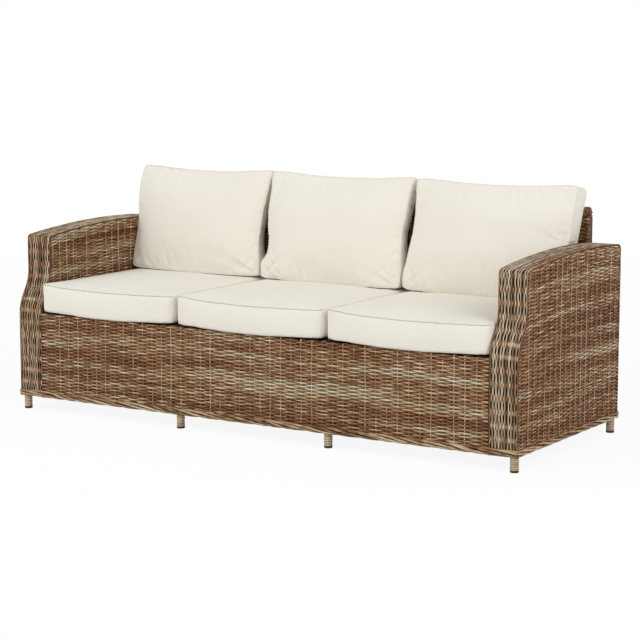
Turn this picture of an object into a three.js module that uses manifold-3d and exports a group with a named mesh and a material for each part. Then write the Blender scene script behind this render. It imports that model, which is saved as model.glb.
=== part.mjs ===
// A three-seat garden sofa: a bent tube frame, woven skins over it, loose seat cushions and back pillows.
// Millimetres, +Z up. X runs along the sofa, -Y is its front, and the floor is Z = 0.
import * as THREE from "three";
import { mergeVertices } from "three/addons/utils/BufferGeometryUtils.js";
import Module from "manifold-3d";

const wasm = await Module();
wasm.setup();

// Driving dimensions of the whole sofa
const sofaWidth = 2000;
const sofaDepth = 760;
const armWidth = 102;
const armPeak = 656; // top of the arm's arch above the floor
const armPeakBack = 120; // how far behind the middle the arch is highest
const armFrontTop = 627; // where the arch would meet the front face
const skirtClearance = 48; // floor to the woven bottom rim
const deckTop = 355; // top of the woven seat deck and of the apron
const backTop = 767; // top of the rolled back edge
const fitGap = 0.3; // clearance between pieces that touch

// The weave, as a panel of its full thickness, and the ribs where it swells over its main stakes
const skin = 6;
const ribRise = 2.5;
const ribCrown = 8; // width of a rib's top
const ribFlank = 10; // width of each sloping side
const armRibs = 10; // on each side of an arm
const longRibs = 22; // on the apron and on both faces of the back

// The arm's curved front: upright below, a soft S, upright again above
const frontSetBack = 54; // how far the S moves the face back
const sCurveBottom = 345;
const sCurveTop = 505;
const sCurvePullShare = 0.42; // handle length of the S as a share of its height
const bandFrontCorner = 13;
const bandRearCorner = 14;

// Tubes
const postDia = 25;
const uprightDia = 21;
const railDia = 20;
const backRailDia = 19;
const spreaderDia = 16;
const tubeWall = 1.5;
const hoopGap = 0.8; // hoop to the band that bends round it, a little more than where straight pieces touch
const hoopBend = 40; // centre-line radius of the bent corners
const innerHoopFoot = 55; // height where the inner hoop's ends stop
const baseRailHeight = 70;
const midLegSpacing = 598.8; // between the two middle legs of a side
const backRollDia = 38;
const backRollWall = 9; // what closes the roll past its rail's ends
const backRollEndRound = 12;

// Foot caps
const capWall = 1.9;
const capFloor = 4;
const capHeight = 13;

// Seat cushions
const seatCount = 3;
const seatFrontInset = 4; // cushion front behind the apron's face
const seatRearGap = 14; // from the cushion to the backrest's weave
const seatSideGap = 1; // between a cushion and what is beside it
const seatSeamHeight = 104; // deck to the top seam
const seatCrown = 11;
const seatDrawIn = 6; // how far the sides pull in between corners
const seatSideBulge = 3; // how far the sides swell at mid height
const seatRimLift = 7; // the lower edge curls up off the deck
const coverWall = 9; // cover with its wadding
const seatZipLength = 420;

// Back pillows
const pillowHeight = 380; // as it stands, leaning
const pillowEdge = 80; // thickness along the edges
const pillowFrontBelly = 44;
const pillowBackBelly = 40;
const pillowDrawIn = 12; // sides pull in between corners
const pillowTopSag = 17;
const pillowRimLift = 8;
const pillowZipLength = 380;
const zipHeight = 8;
const zipThickness = 4;
const pillowGap = 10; // between two pillows
const pillowArmGap = 4;
const leftPillowForward = 146; // from the backrest's weave to the middle of the pillow's foot
const middlePillowForward = 165;
const rightPillowForward = 172;
// One line for each pillow, as the sofa stands in use: its share of the row between the arms, how far
// its foot stands forward, the lean in degrees and the turn about the upright in degrees
const pillowPlaces = [
  { share: 0.3275, forward: leftPillowForward, lean: 14, turn: 0.4 },
  { share: 0.3295, forward: middlePillowForward, lean: 16.5, turn: 0 },
  { share: 0.343, forward: rightPillowForward, lean: 16.5, turn: -0.8 },
];

// Smoothness of the round shapes
const tubeSides = 12;
const hoopSides = 8;
const capSides = 16;
const rollSides = 16;
const curveSteps = 6; // points along each curved stretch of the arm's profile
const cushionSteps = 8;
const cushionSideSteps = 2;
const coreSteps = 4;
const crownPower = 4;
const bellyPower = 2.4;
const rimPower = 6;

const halfWidth = sofaWidth / 2;
const halfDepth = sofaDepth / 2;
const armInner = halfWidth - armWidth;
const postRadius = postDia / 2;
const uprightRadius = uprightDia / 2;
const railRadius = railDia / 2;
const backRailRadius = backRailDia / 2;
const backRollRadius = backRollDia / 2;
const archRise = armPeak - armFrontTop;
const archRun = halfDepth - frontSetBack + armPeakBack;
const archSharpness = archRise / (archRun * archRun);
const deckBottom = deckTop - skin;
const seatRailHeight = deckBottom - fitGap - railRadius;
const outerPostX = halfWidth - skin - fitGap - postRadius;
const innerPostX = armInner + skin + fitGap + postRadius;
const hoopInset = skin + hoopGap + postRadius;
const postY = halfDepth - hoopInset;
const midLegX = midLegSpacing / 2;
const railY = postY - postRadius - fitGap - railRadius;
const railGapY = railY - railRadius - fitGap;
const uprightY = postY - postRadius + uprightRadius;
const backSkinOuter = uprightY + uprightRadius + fitGap + skin;
const backSkinInner = uprightY - uprightRadius - fitGap - skin;
const rollCentreZ = backTop - backRollRadius;
const betweenArms = 2 * (armInner - fitGap);
const seatFront = seatFrontInset - halfDepth;
const seatDepth = backSkinInner - seatRearGap - seatFront;
const seatMiddleY = seatFront + seatDepth / 2;

// Materials, as they look from a step away
function standard(color, roughness, metalness) {
  return new THREE.MeshStandardMaterial({ color, roughness, metalness });
}

const finishes = {
  weave: standard("#8f6b4b", 0.62, 0),
  bandWeave: standard("#a58866", 0.6, 0),
  rollWeave: standard("#b09a78", 0.6, 0),
  deckWeave: standard("#6f5038", 0.7, 0),
  tube: standard("#5b4636", 0.45, 0.6),
  cap: standard("#2b2725", 0.6, 0),
  fabric: standard("#ece8dc", 0.9, 0),
  foam: standard("#f1e9c9", 0.95, 0),
  zip: standard("#d8d3c6", 0.5, 0),
};

const sofa = new THREE.Group();

// Makes one named piece and hangs it in the sofa.
function add(name, geometry, finish, x = 0, y = 0, z = 0) {
  const mesh = new THREE.Mesh(geometry, finish);
  mesh.name = name;
  mesh.position.set(x, y, z);
  sofa.add(mesh);
  return mesh;
}

// A closed geometry as a solid that can be cut.
function toSolid(geometry) {
  const bare = geometry.clone();
  bare.deleteAttribute("normal");
  bare.deleteAttribute("uv");
  const merged = mergeVertices(bare);
  return new wasm.Manifold(
    new wasm.Mesh({
      numProp: 3,
      vertProperties: merged.attributes.position.array,
      triVerts: new Uint32Array(merged.index.array),
    }),
  );
}

// A cut solid as a geometry again.
function toGeometry(solid) {
  const mesh = solid.getMesh();
  const geometry = new THREE.BufferGeometry();
  geometry.setAttribute("position", new THREE.BufferAttribute(mesh.vertProperties, mesh.numProp));
  geometry.setIndex(new THREE.BufferAttribute(mesh.triVerts, 1));
  geometry.computeVertexNormals();
  return geometry;
}

// The first geometry with each of the others cut away from it.
function cut(geometry, tools) {
  const kept = tools.reduce((solid, tool) => solid.subtract(toSolid(tool)), toSolid(geometry));
  return toGeometry(kept);
}

// The round section of a tube.
function tubeSection(dia) {
  const section = new THREE.Shape();
  section.absarc(0, 0, dia / 2, 0, 2 * Math.PI);
  const bore = new THREE.Path();
  bore.absarc(0, 0, dia / 2 - tubeWall, 0, 2 * Math.PI);
  section.holes.push(bore);
  return section;
}

// A straight tube along Z, centred on the origin.
function straightTube(dia, length) {
  const options = { depth: length, bevelEnabled: false, curveSegments: tubeSides / 2 };
  return new THREE.ExtrudeGeometry(tubeSection(dia), options).translate(0, 0, -length / 2);
}

// Adds a tube that stands upright between two heights.
function addPost(name, dia, x, y, bottom, top) {
  add(name, straightTube(dia, top - bottom), finishes.tube, x, y, (bottom + top) / 2);
}

// Adds a tube that lies along X.
function addRailX(name, dia, length, x, y, z) {
  add(name, straightTube(dia, length), finishes.tube, x, y, z).rotation.y = Math.PI / 2;
}

// Adds a tube that lies along Y.
function addRailY(name, dia, length, x, y, z) {
  add(name, straightTube(dia, length), finishes.tube, x, y, z).rotation.x = Math.PI / 2;
}

// Turns a piece drawn in X and Y and extruded along Z so that it stands in the YZ plane.
const sideTurn = new THREE.Matrix4().makeBasis(
  new THREE.Vector3(0, 1, 0),
  new THREE.Vector3(0, 0, 1),
  new THREE.Vector3(1, 0, 0),
);

// Height of the arm's arch at a place along the arm.
function archHeight(y) {
  return armPeak - archSharpness * (y - armPeakBack) ** 2;
}

// The arm seen from the side, from the front foot over the top to the rear foot, as points (y, z).
function armOutline(frontCorner, rearCorner) {
  const frontTop = frontSetBack - halfDepth;
  const archStart = frontTop + frontCorner;
  const archEnd = halfDepth - rearCorner;
  const archMiddle = (archStart + archEnd) / 2;
  const startSlope = -2 * archSharpness * (archStart - armPeakBack);
  const archControl = archHeight(archStart) + startSlope * (archMiddle - archStart);
  const pull = sCurvePullShare * (sCurveTop - sCurveBottom);
  const path = new THREE.Path();
  path.moveTo(-halfDepth, skirtClearance);
  path.lineTo(-halfDepth, sCurveBottom);
  path.bezierCurveTo(-halfDepth, sCurveBottom + pull, frontTop, sCurveTop - pull, frontTop, sCurveTop);
  path.lineTo(frontTop, archHeight(frontTop) - frontCorner);
  path.quadraticCurveTo(frontTop, archHeight(frontTop), archStart, archHeight(archStart));
  path.quadraticCurveTo(archMiddle, archControl, archEnd, archHeight(archEnd));
  path.quadraticCurveTo(halfDepth, archHeight(halfDepth), halfDepth, archHeight(halfDepth) - rearCorner);
  path.lineTo(halfDepth, skirtClearance);
  return path.getPoints(curveSteps);
}

// The same run of points moved in by an even distance, square to the run.
function inset(points, distance) {
  return points.map((point, i) => {
    const before = points[Math.max(i - 1, 0)];
    const after = points[Math.min(i + 1, points.length - 1)];
    const arriving = (i === 0 ? after.clone().sub(point) : point.clone().sub(before)).normalize();
    const leaving = (i === points.length - 1 ? arriving.clone() : after.clone().sub(point)).normalize();
    const along = arriving.clone().add(leaving).normalize();
    const inward = new THREE.Vector2(along.y, -along.x);
    return point.clone().addScaledVector(inward, distance / along.dot(leaving));
  });
}

// An open curve that goes straight from point to point, so that a tube along it turns at those points only.
class BentLine extends THREE.Curve {
  constructor(points) {
    super();
    this.points = points;
  }

  getUtoTmapping(u) {
    return u;
  }

  getPoint(t, target = new THREE.Vector3()) {
    const place = t * (this.points.length - 1);
    const index = Math.min(Math.floor(place), this.points.length - 2);
    return target.lerpVectors(this.points[index], this.points[index + 1], place - index);
  }

  getTangent(t, target = new THREE.Vector3()) {
    const index = Math.round(t * (this.points.length - 1));
    const here = this.points[index];
    const before = this.points[Math.max(index - 1, 0)];
    const after = this.points[Math.min(index + 1, this.points.length - 1)];
    const arriving = here.clone().sub(before).normalize();
    const leaving = after.clone().sub(here).normalize();
    return target.copy(arriving).add(leaving).normalize();
  }
}

// A bent tube inside the arm, with both ends lengthened or shortened to a foot height.
function hoopGeometry(foot) {
  const corner = hoopBend + hoopInset;
  const line = inset(armOutline(corner, corner), hoopInset);
  line[0].y = foot;
  line[line.length - 1].y = foot;
  const path = new BentLine(line.map((point) => new THREE.Vector3(0, point.x, point.y)));
  const options = { steps: line.length - 1, extrudePath: path, curveSegments: hoopSides / 2 };
  return new THREE.ExtrudeGeometry(tubeSection(postDia), options);
}

// A flat woven panel of the weave's thickness, drawn as seen from the side.
function sidePanel(shape, thickness) {
  const options = { depth: thickness, bevelEnabled: false };
  return new THREE.ExtrudeGeometry(shape, options).applyMatrix4(sideTurn);
}

// A woven panel with the spaces between its upright ribs cut from its face. They are drawn for a face
// that looks to -Y, then turned by the angle and moved to the place.
function ribbed(panel, count, length, height, angle, place) {
  const pitch = length / count;
  const floorHalf = (pitch - ribCrown) / 2 - ribFlank;
  const mouthHalf = floorHalf + 2 * ribFlank;
  const section = new THREE.Shape([
    new THREE.Vector2(-floorHalf, ribRise),
    new THREE.Vector2(floorHalf, ribRise),
    new THREE.Vector2(mouthHalf, -ribRise),
    new THREE.Vector2(-mouthHalf, -ribRise),
  ]);
  const spaces = [];
  for (let i = 0; i <= count; i += 1) {
    const space = new THREE.ExtrudeGeometry(section, { depth: height, bevelEnabled: false });
    space.translate(i * pitch - length / 2, 0, 0).rotateZ(angle);
    spaces.push(space.translate(place.x, place.y, place.z));
  }
  return cut(panel, spaces);
}

// A ribbed panel between the arms, its face to the front with facing -1, to the rear with 1.
function longPanel(height, facing) {
  const board = new THREE.BoxGeometry(betweenArms, skin, height);
  const place = new THREE.Vector3(0, (facing * skin) / 2, -height);
  return ribbed(board, longRibs, betweenArms, 2 * height, facing > 0 ? Math.PI : 0, place);
}

// A ribbed panel of an arm, its face towards +X with facing 1, towards -X with -1.
function armPanel(edge, facing) {
  const place = new THREE.Vector3(facing > 0 ? skin : 0, 0, 0);
  const panel = sidePanel(new THREE.Shape(edge), skin);
  return ribbed(panel, armRibs, sofaDepth, armPeak, (facing * Math.PI) / 2, place);
}

// One arm: two bent hoops, the tube between them, three woven pieces.
function addArm(side, sign) {
  const capBottom = capFloor + fitGap;
  add(`arm_hoop_outer_${side}`, hoopGeometry(capBottom), finishes.tube, sign * outerPostX);
  add(`arm_hoop_inner_${side}`, hoopGeometry(innerHoopFoot), finishes.tube, sign * innerPostX);

  const spread = outerPostX - innerPostX - 2 * (postRadius + fitGap);
  const spreaderZ = armPeak - hoopInset;
  const spreaderX = (outerPostX + innerPostX) / 2;
  addRailX(`arm_spreader_${side}`, spreaderDia, spread, sign * spreaderX, armPeakBack, spreaderZ);

  const outline = armOutline(bandFrontCorner, bandRearCorner);
  const under = inset(outline, skin);
  const bandShape = new THREE.Shape([...outline, ...under.reverse()]);
  const bandLeft = sign > 0 ? armInner : -halfWidth;
  add(`arm_band_${side}`, sidePanel(bandShape, armWidth), finishes.bandWeave, bandLeft);

  const panelEdge = inset(outline, skin + fitGap);
  const outerLeft = sign > 0 ? halfWidth - skin : -halfWidth;
  add(`arm_outer_skin_${side}`, armPanel(panelEdge, sign), finishes.weave, outerLeft);

  const innerBottom = deckBottom;
  const above = panelEdge.filter((point) => point.y > innerBottom);
  const first = panelEdge[panelEdge.indexOf(above[0]) - 1];
  const share = (innerBottom - first.y) / (above[0].y - first.y);
  const frontFoot = first.clone().lerp(above[0], share);
  const rearFoot = new THREE.Vector2(above[above.length - 1].x, innerBottom);
  const innerLeft = sign > 0 ? armInner : -armInner - skin;
  add(`arm_inner_skin_${side}`, armPanel([frontFoot, ...above, rearFoot], -sign), finishes.weave, innerLeft);
}

// A foot cap, the cup that a leg stands in, with its open side up.
function footCap(dia) {
  const inside = dia / 2 + fitGap;
  const outside = inside + capWall;
  const profile = [
    [0, 0],
    [outside, 0],
    [outside, capHeight],
    [inside, capHeight],
    [inside, capFloor],
    [0, capFloor],
  ].map(([r, z]) => new THREE.Vector2(r, z));
  return new THREE.LatheGeometry(profile, capSides).rotateX(Math.PI / 2);
}

// The eight feet and the four legs that are not part of an arm hoop.
function addFeet() {
  const capBottom = capFloor + fitGap;
  const sides = [
    ["left", -1],
    ["right", 1],
  ];
  for (const [side, sign] of sides) {
    add(`foot_cap_front_${side}`, footCap(postDia), finishes.cap, sign * outerPostX, -postY);
    add(`foot_cap_rear_${side}`, footCap(postDia), finishes.cap, sign * outerPostX, postY);
    add(`foot_cap_front_mid_${side}`, footCap(postDia), finishes.cap, sign * midLegX, -postY);
    add(`foot_cap_rear_mid_${side}`, footCap(uprightDia), finishes.cap, sign * midLegX, uprightY);
    addPost(`front_leg_mid_${side}`, postDia, sign * midLegX, -postY, capBottom, deckBottom - fitGap);
  }
}

// Rails at the bottom rim and under the seat, with two cross rails that carry the deck.
function addRails() {
  const full = 2 * (halfWidth - skin - fitGap);
  const across = 2 * railGapY;
  const baseSideX = halfWidth - skin - fitGap - railRadius;
  const seatSideX = armInner + skin - railRadius;
  addRailX("base_rail_front", railDia, full, 0, -railY, baseRailHeight);
  addRailX("base_rail_rear", railDia, full, 0, railY, baseRailHeight);
  addRailX("seat_rail_front", railDia, full, 0, -railY, seatRailHeight);
  addRailX("seat_rail_rear", railDia, full, 0, railY, seatRailHeight);
  addRailY("base_rail_left", railDia, across, -baseSideX, 0, baseRailHeight);
  addRailY("base_rail_right", railDia, across, baseSideX, 0, baseRailHeight);
  addRailY("seat_rail_left", railDia, across, -seatSideX, 0, seatRailHeight);
  addRailY("seat_rail_right", railDia, across, seatSideX, 0, seatRailHeight);
  addRailY("cross_rail_left", railDia, across, -midLegX, 0, seatRailHeight);
  addRailY("cross_rail_right", railDia, across, midLegX, 0, seatRailHeight);
}

// The rolled top edge: a round-ended sleeve with a blind bore for its rail and a socket for each upright.
function backRoll(length, railLength, uprightPlaces) {
  const profile = new THREE.Path();
  profile.moveTo(0, -length / 2);
  profile.lineTo(backRollRadius - backRollEndRound, -length / 2);
  profile.quadraticCurveTo(
    backRollRadius,
    -length / 2,
    backRollRadius,
    backRollEndRound - length / 2,
  );
  profile.lineTo(backRollRadius, length / 2 - backRollEndRound);
  profile.quadraticCurveTo(
    backRollRadius,
    length / 2,
    backRollRadius - backRollEndRound,
    length / 2,
  );
  profile.lineTo(0, length / 2);
  const sleeve = new THREE.LatheGeometry(profile.getPoints(coreSteps), rollSides).rotateZ(Math.PI / 2);
  const boreRadius = backRailRadius + fitGap;
  const bore = new THREE.CylinderGeometry(boreRadius, boreRadius, railLength + 2 * fitGap, tubeSides);
  const socketRadius = uprightRadius + fitGap;
  const sockets = uprightPlaces.map((x) =>
    new THREE.CylinderGeometry(socketRadius, socketRadius, backRollDia, capSides)
      .rotateX(Math.PI / 2)
      .translate(x, 0, -backRollRadius - boreRadius / 2),
  );
  return cut(sleeve, [bore.rotateZ(Math.PI / 2), ...sockets]);
}

// The back: four uprights, the top rail in its roll, and a woven skin before and behind them.
function addBack() {
  const endX = armInner - fitGap - uprightRadius;
  const uprightTop = rollCentreZ - backRailRadius - fitGap;
  const capBottom = capFloor + fitGap;
  const places = [-endX, -midLegX, midLegX, endX];
  addPost("back_upright_end_left", uprightDia, -endX, uprightY, baseRailHeight, uprightTop);
  addPost("back_upright_mid_left", uprightDia, -midLegX, uprightY, capBottom, uprightTop);
  addPost("back_upright_mid_right", uprightDia, midLegX, uprightY, capBottom, uprightTop);
  addPost("back_upright_end_right", uprightDia, endX, uprightY, baseRailHeight, uprightTop);
  const railLength = betweenArms - 2 * backRollWall;
  addRailX("back_top_rail", backRailDia, railLength, 0, uprightY, rollCentreZ);
  const roll = backRoll(betweenArms, railLength, places);
  add("back_top_roll", roll, finishes.rollWeave, 0, uprightY, rollCentreZ);

  const skinTop = rollCentreZ - backRollRadius - fitGap;
  const outerHeight = skinTop - skirtClearance;
  const outerZ = skirtClearance + outerHeight / 2;
  add("back_outer_skin", longPanel(outerHeight, 1), finishes.weave, 0, backSkinOuter - skin / 2, outerZ);
  const innerHeight = skinTop - deckTop - fitGap;
  const innerZ = skinTop - innerHeight / 2;
  add("back_inner_skin", longPanel(innerHeight, -1), finishes.weave, 0, backSkinInner + skin / 2, innerZ);
}

// The woven apron and the deck behind it.
function addSeatWeave() {
  const apronHeight = deckTop - skirtClearance;
  const apronZ = skirtClearance + apronHeight / 2;
  add("front_apron", longPanel(apronHeight, -1), finishes.weave, 0, skin / 2 - halfDepth, apronZ);
  const deckFront = skin + fitGap - halfDepth;
  const deckRear = backSkinInner + skin;
  const deck = new THREE.BoxGeometry(betweenArms, deckRear - deckFront, skin);
  add("seat_deck", deck, finishes.deckWeave, 0, (deckFront + deckRear) / 2, deckTop - skin / 2);
}

// A box whose points are moved by a form: form(u, v, w) takes places from -1 to 1 and returns a point.
function formed(steps, sideSteps, form) {
  const geometry = new THREE.BoxGeometry(2, 2, 2, steps, sideSteps, steps);
  const points = geometry.attributes.position;
  for (let i = 0; i < points.count; i += 1) {
    const u = Math.sin((points.getX(i) * Math.PI) / 2);
    const v = points.getY(i);
    const w = Math.sin((points.getZ(i) * Math.PI) / 2);
    const place = form(u, v, w);
    points.setXYZ(i, place.x, place.y, place.z);
  }
  return geometry;
}

// How far from flat a crowned face stands at (u, w).
function crownShare(u, w, power) {
  return (1 - Math.abs(u) ** power) * (1 - Math.abs(w) ** power);
}

// A boxed seat cushion in its own frame: u along X, w from the rear to the front, v up. Its foot is Z = 0.
// Less is how far inside the cover's face the form lies.
function seatForm(width, less) {
  return (u, v, w) => {
    const swell = seatSideBulge * (1 - v * v);
    const halfX = width / 2 - less - seatDrawIn * (1 - w * w) + swell * (1 - w * w);
    const halfY = seatDepth / 2 - less - seatDrawIn * (1 - u * u) + swell * (1 - u * u);
    const crown = seatCrown * crownShare(u, w, crownPower);
    const rim = seatRimLift * Math.max(Math.abs(u), Math.abs(w)) ** rimPower;
    const top = seatSeamHeight - less + crown;
    const bottom = less + rim;
    return new THREE.Vector3(u * halfX, -w * halfY, bottom + ((top - bottom) * (v + 1)) / 2);
  };
}

// Height of a seat cushion's top face over the deck at a place behind the cushion's middle.
function seatTopOverDeck(behind) {
  return seatSeamHeight + seatCrown * crownShare(0, behind / (seatDepth / 2), crownPower);
}

// A back pillow in its own frame: u along X, w up, v from the front to the back. Its foot lies flat at
// Z = 0 and its top stands square to its lean.
function pillowForm(width, lean, less) {
  return (u, v, w) => {
    const belly = v < 0 ? pillowFrontBelly : pillowBackBelly;
    const half = pillowEdge / 2 - less + belly * crownShare(u, w, bellyPower);
    const halfX = width / 2 - less - pillowDrawIn * (1 - w * w);
    const top = pillowHeight - less - pillowTopSag * (1 - u * u);
    const bottom = less + pillowRimLift * Math.abs(u) ** rimPower;
    const rise = (w + 1) / 2;
    const height = bottom + (top - bottom) * rise;
    const drop = (v * half + pillowEdge / 2) * Math.tan(lean) * rise;
    return new THREE.Vector3(u * halfX, height * Math.tan(lean) + v * half, height - drop);
  };
}

// Adds a cover with its slit, the zip in the slit and the core inside. The zip's box is given in the
// cushion's own frame.
function addCushion(name, formOf, zipSize, zipPlace, x, y, z, turn) {
  const outside = formed(cushionSteps, cushionSideSteps, formOf(0));
  const hollow = formed(coreSteps, 1, formOf(coverWall));
  const slitSize = zipSize.map((size) => size + 2 * fitGap);
  slitSize[zipPlace.through] = 2 * (coverWall + zipThickness);
  const slit = new THREE.BoxGeometry(...slitSize).translate(zipPlace.x, zipPlace.y, zipPlace.z);
  const zip = new THREE.BoxGeometry(...zipSize).translate(zipPlace.x, zipPlace.y, zipPlace.z);
  const core = formed(coreSteps, 1, formOf(coverWall + fitGap));
  const pieces = [
    add(`${name}_cover`, cut(outside, [hollow, slit]), finishes.fabric, x, y, z),
    add(`${name}_core`, core, finishes.foam, x, y, z),
    add(`${name}_zip`, zip, finishes.zip, x, y, z),
  ];
  for (const piece of pieces) piece.rotation.z = turn;
}

// Three seat cushions side by side between the arms.
function addSeatCushions() {
  const bay = (2 * armInner) / seatCount;
  const width = bay - 2 * seatSideGap;
  const rear = seatDepth / 2 - seatDrawIn + seatSideBulge;
  const zipPlace = { x: 0, y: rear - coverWall / 2, z: seatSeamHeight / 2, through: 1 };
  const zipSize = [seatZipLength, zipThickness, zipHeight];
  ["left", "middle", "right"].forEach((side, i) => {
    const x = (i - (seatCount - 1) / 2) * bay;
    const formOf = (less) => seatForm(width, less);
    addCushion(`seat_${side}`, formOf, zipSize, zipPlace, x, seatMiddleY, deckTop + fitGap, 0);
  });
}

// Three back pillows that stand on the seat cushions and lean on the rolled edge.
function addPillows() {
  const zipSize = [pillowZipLength, zipHeight, zipThickness];
  const zipPlace = { x: 0, y: 0, z: coverWall / 2, through: 2 };
  const row = 2 * (armInner - pillowArmGap) - (pillowPlaces.length - 1) * pillowGap;
  let left = pillowArmGap - armInner;
  ["left", "middle", "right"].forEach((side, i) => {
    const { share, forward, lean, turn } = pillowPlaces[i];
    const width = share * row;
    const foot = backSkinInner - forward;
    const turned = THREE.MathUtils.degToRad(turn);
    const formOf = (less) => pillowForm(width, THREE.MathUtils.degToRad(lean), less);
    const footFront = foot - pillowEdge / 2;
    const standing = deckTop + seatTopOverDeck(footFront - seatMiddleY) + fitGap;
    addCushion(`back_${side}`, formOf, zipSize, zipPlace, left + width / 2, foot, standing, turned);
    left += width + pillowGap;
  });
}

addArm("left", -1);
addArm("right", 1);
addFeet();
addRails();
addBack();
addSeatWeave();
addSeatCushions();
addPillows();

export default sofa;
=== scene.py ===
import logging
import math
from collections.abc import Callable, Iterator
from contextlib import contextmanager
from dataclasses import dataclass, field
from enum import Enum

import bpy
import numpy as np
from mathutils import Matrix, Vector
from mathutils.bvhtree import BVHTree
from mathutils.kdtree import KDTree


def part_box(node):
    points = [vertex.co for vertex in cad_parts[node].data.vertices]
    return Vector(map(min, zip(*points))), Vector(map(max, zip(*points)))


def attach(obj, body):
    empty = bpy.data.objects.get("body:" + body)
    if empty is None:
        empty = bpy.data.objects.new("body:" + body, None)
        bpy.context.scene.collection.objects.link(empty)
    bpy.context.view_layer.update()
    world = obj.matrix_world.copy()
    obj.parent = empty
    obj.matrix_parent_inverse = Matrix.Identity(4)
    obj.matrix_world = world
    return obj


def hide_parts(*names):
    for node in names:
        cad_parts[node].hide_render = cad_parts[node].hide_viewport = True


# The rattan garden sofa's woven, wrapped and sewn surfaces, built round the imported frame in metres.

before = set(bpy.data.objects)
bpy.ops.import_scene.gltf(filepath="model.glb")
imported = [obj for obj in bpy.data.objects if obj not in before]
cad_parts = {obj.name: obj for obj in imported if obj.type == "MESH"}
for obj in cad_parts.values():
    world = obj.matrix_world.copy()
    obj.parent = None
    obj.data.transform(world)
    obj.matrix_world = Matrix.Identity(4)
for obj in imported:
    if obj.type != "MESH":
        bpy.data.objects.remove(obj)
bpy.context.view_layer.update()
log = logging.getLogger("sofa")

Piece = bpy.types.Object
Array = np.ndarray
Spot = tuple[float, float, float]
Placing = Callable[..., Array]  # turns places along, out of and across flat work into points of the sofa
X, Y, Z = np.eye(3)


class Side(Enum):
    """Left and right as a viewer in front of the sofa has them."""

    LEFT = -1
    RIGHT = 1

    @property
    def word(self) -> str:
        """The side's name in the names of pieces."""
        return self.name.lower()


@dataclass(frozen=True)
class SofaSizes:
    """The sizes that several sub-assemblies share, in metres, as the frame has them."""

    half_width: float = 1.000
    half_depth: float = 0.380
    arm_width: float = 0.102
    floor_gap: float = 0.048
    rim_height: float = 0.020
    deck_top: float = 0.355
    back_outside: float = 0.3755
    back_inside: float = 0.3419
    roll_y: float = 0.3587
    roll_z: float = 0.748
    roll_radius: float = 0.019
    seat_front: float = -0.376
    seat_rear: float = 0.3279
    half_skin: float = 0.003
    lining: float = 0.0004
    pressed_height: float = 0.098  # of the seat cushions under the pillows, at their edges
    pressed_crown: float = 0.011  # how much higher they are in the middle
    pressed_reach: float = 0.352  # from their middle to their edges

    @property
    def arm_inside(self) -> float:
        """How far the arms' inner faces stand from the middle."""
        return self.half_width - self.arm_width

    @property
    def panel_inside(self) -> float:
        """How far the front and back panels reach from the middle."""
        return self.arm_inside - 0.001

    @property
    def rim_top(self) -> float:
        """Height of the bottom rim's upper side."""
        return self.floor_gap + self.rim_height


sizes = SofaSizes()


# Small tools for pieces


def srgb(code: str) -> tuple[float, ...]:
    """Turns an sRGB colour, six hex digits, into linear red, green, blue and a full alpha."""
    parts = [int(code[i : i + 2], 16) / 255 for i in (0, 2, 4)]
    return (*(p / 12.92 if p <= 0.04045 else ((p + 0.055) / 1.055) ** 2.4 for p in parts), 1.0)


def select_only(*pieces: Piece) -> None:
    """Selects these pieces alone and makes the first one active."""
    bpy.ops.object.select_all(action="DESELECT")
    for piece in pieces:
        piece.select_set(True)
    if pieces:
        bpy.context.view_layer.objects.active = pieces[0]


def added(name: str, operator: Callable[..., object], **settings: object) -> Piece:
    """Adds an object by an operator, with nothing else selected, and names it.

    Args:
        name: the object's name.
        operator: what adds it.
        settings: the operator's settings.

    Returns:
        The object.
    """
    select_only()
    operator(**settings)
    return named(name)


def named(name: str) -> Piece:
    """Gives the active object its name and returns it."""
    piece = bpy.context.active_object
    piece.name = piece.data.name = name
    return piece


@contextmanager
def editing(piece: Piece, picks: Callable[[Vector], bool] | None = None) -> Iterator[None]:
    """Opens a piece in edit mode.

    Args:
        piece: the piece.
        picks: tells from a face's normal if it is selected. Without it all of the piece is.
    """
    select_only(piece)
    bpy.ops.object.mode_set(mode="EDIT")
    bpy.ops.mesh.select_all(action="DESELECT" if picks else "SELECT")
    if picks:
        bpy.ops.object.mode_set(mode="OBJECT")
        for face in piece.data.polygons:
            face.select = picks(face.normal)
        bpy.ops.object.mode_set(mode="EDIT")
    yield
    bpy.ops.object.mode_set(mode="OBJECT")


def points_of(piece: Piece) -> Array:
    """Returns a piece's points as rows of x, y, z."""
    flat = np.empty(len(piece.data.vertices) * 3)
    piece.data.vertices.foreach_get("co", flat)
    return flat.reshape(-1, 3)


def move_points(piece: Piece, points: Array) -> None:
    """Puts a piece's points where the rows of x, y, z say."""
    piece.data.vertices.foreach_set("co", np.ascontiguousarray(points, dtype=np.float64).reshape(-1))
    piece.data.update()


def rows_of(*columns: Array | float) -> Array:
    """Puts coordinates side by side as rows. One that is the same for all points may be a single number."""
    return np.stack(np.broadcast_arrays(*columns), 1)


def laid(start: Spot, along: Array, out: Array, across: Array) -> Placing:
    """Tells how flat work is laid in the sofa.

    Args:
        start: where its zero goes.
        along: the way its strands run.
        out: the way its face looks.
        across: the way from its first strand to its last.

    Returns:
        What turns its places into points of the sofa.
    """
    turn = np.array([along, out, across])
    return lambda *flat: rows_of(*flat) @ turn + start


def finish_modifier(piece: Piece, kind: str, **settings: object) -> None:
    """Adds a modifier with its settings and applies it.

    Args:
        piece: the piece that it works on.
        kind: the modifier's type.
        settings: its properties by name.
    """
    select_only(piece)
    modifier = piece.modifiers.new(kind.title(), kind)
    for key, value in settings.items():
        setattr(modifier, key, value)
    bpy.ops.object.modifier_apply(modifier=modifier.name)


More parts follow.
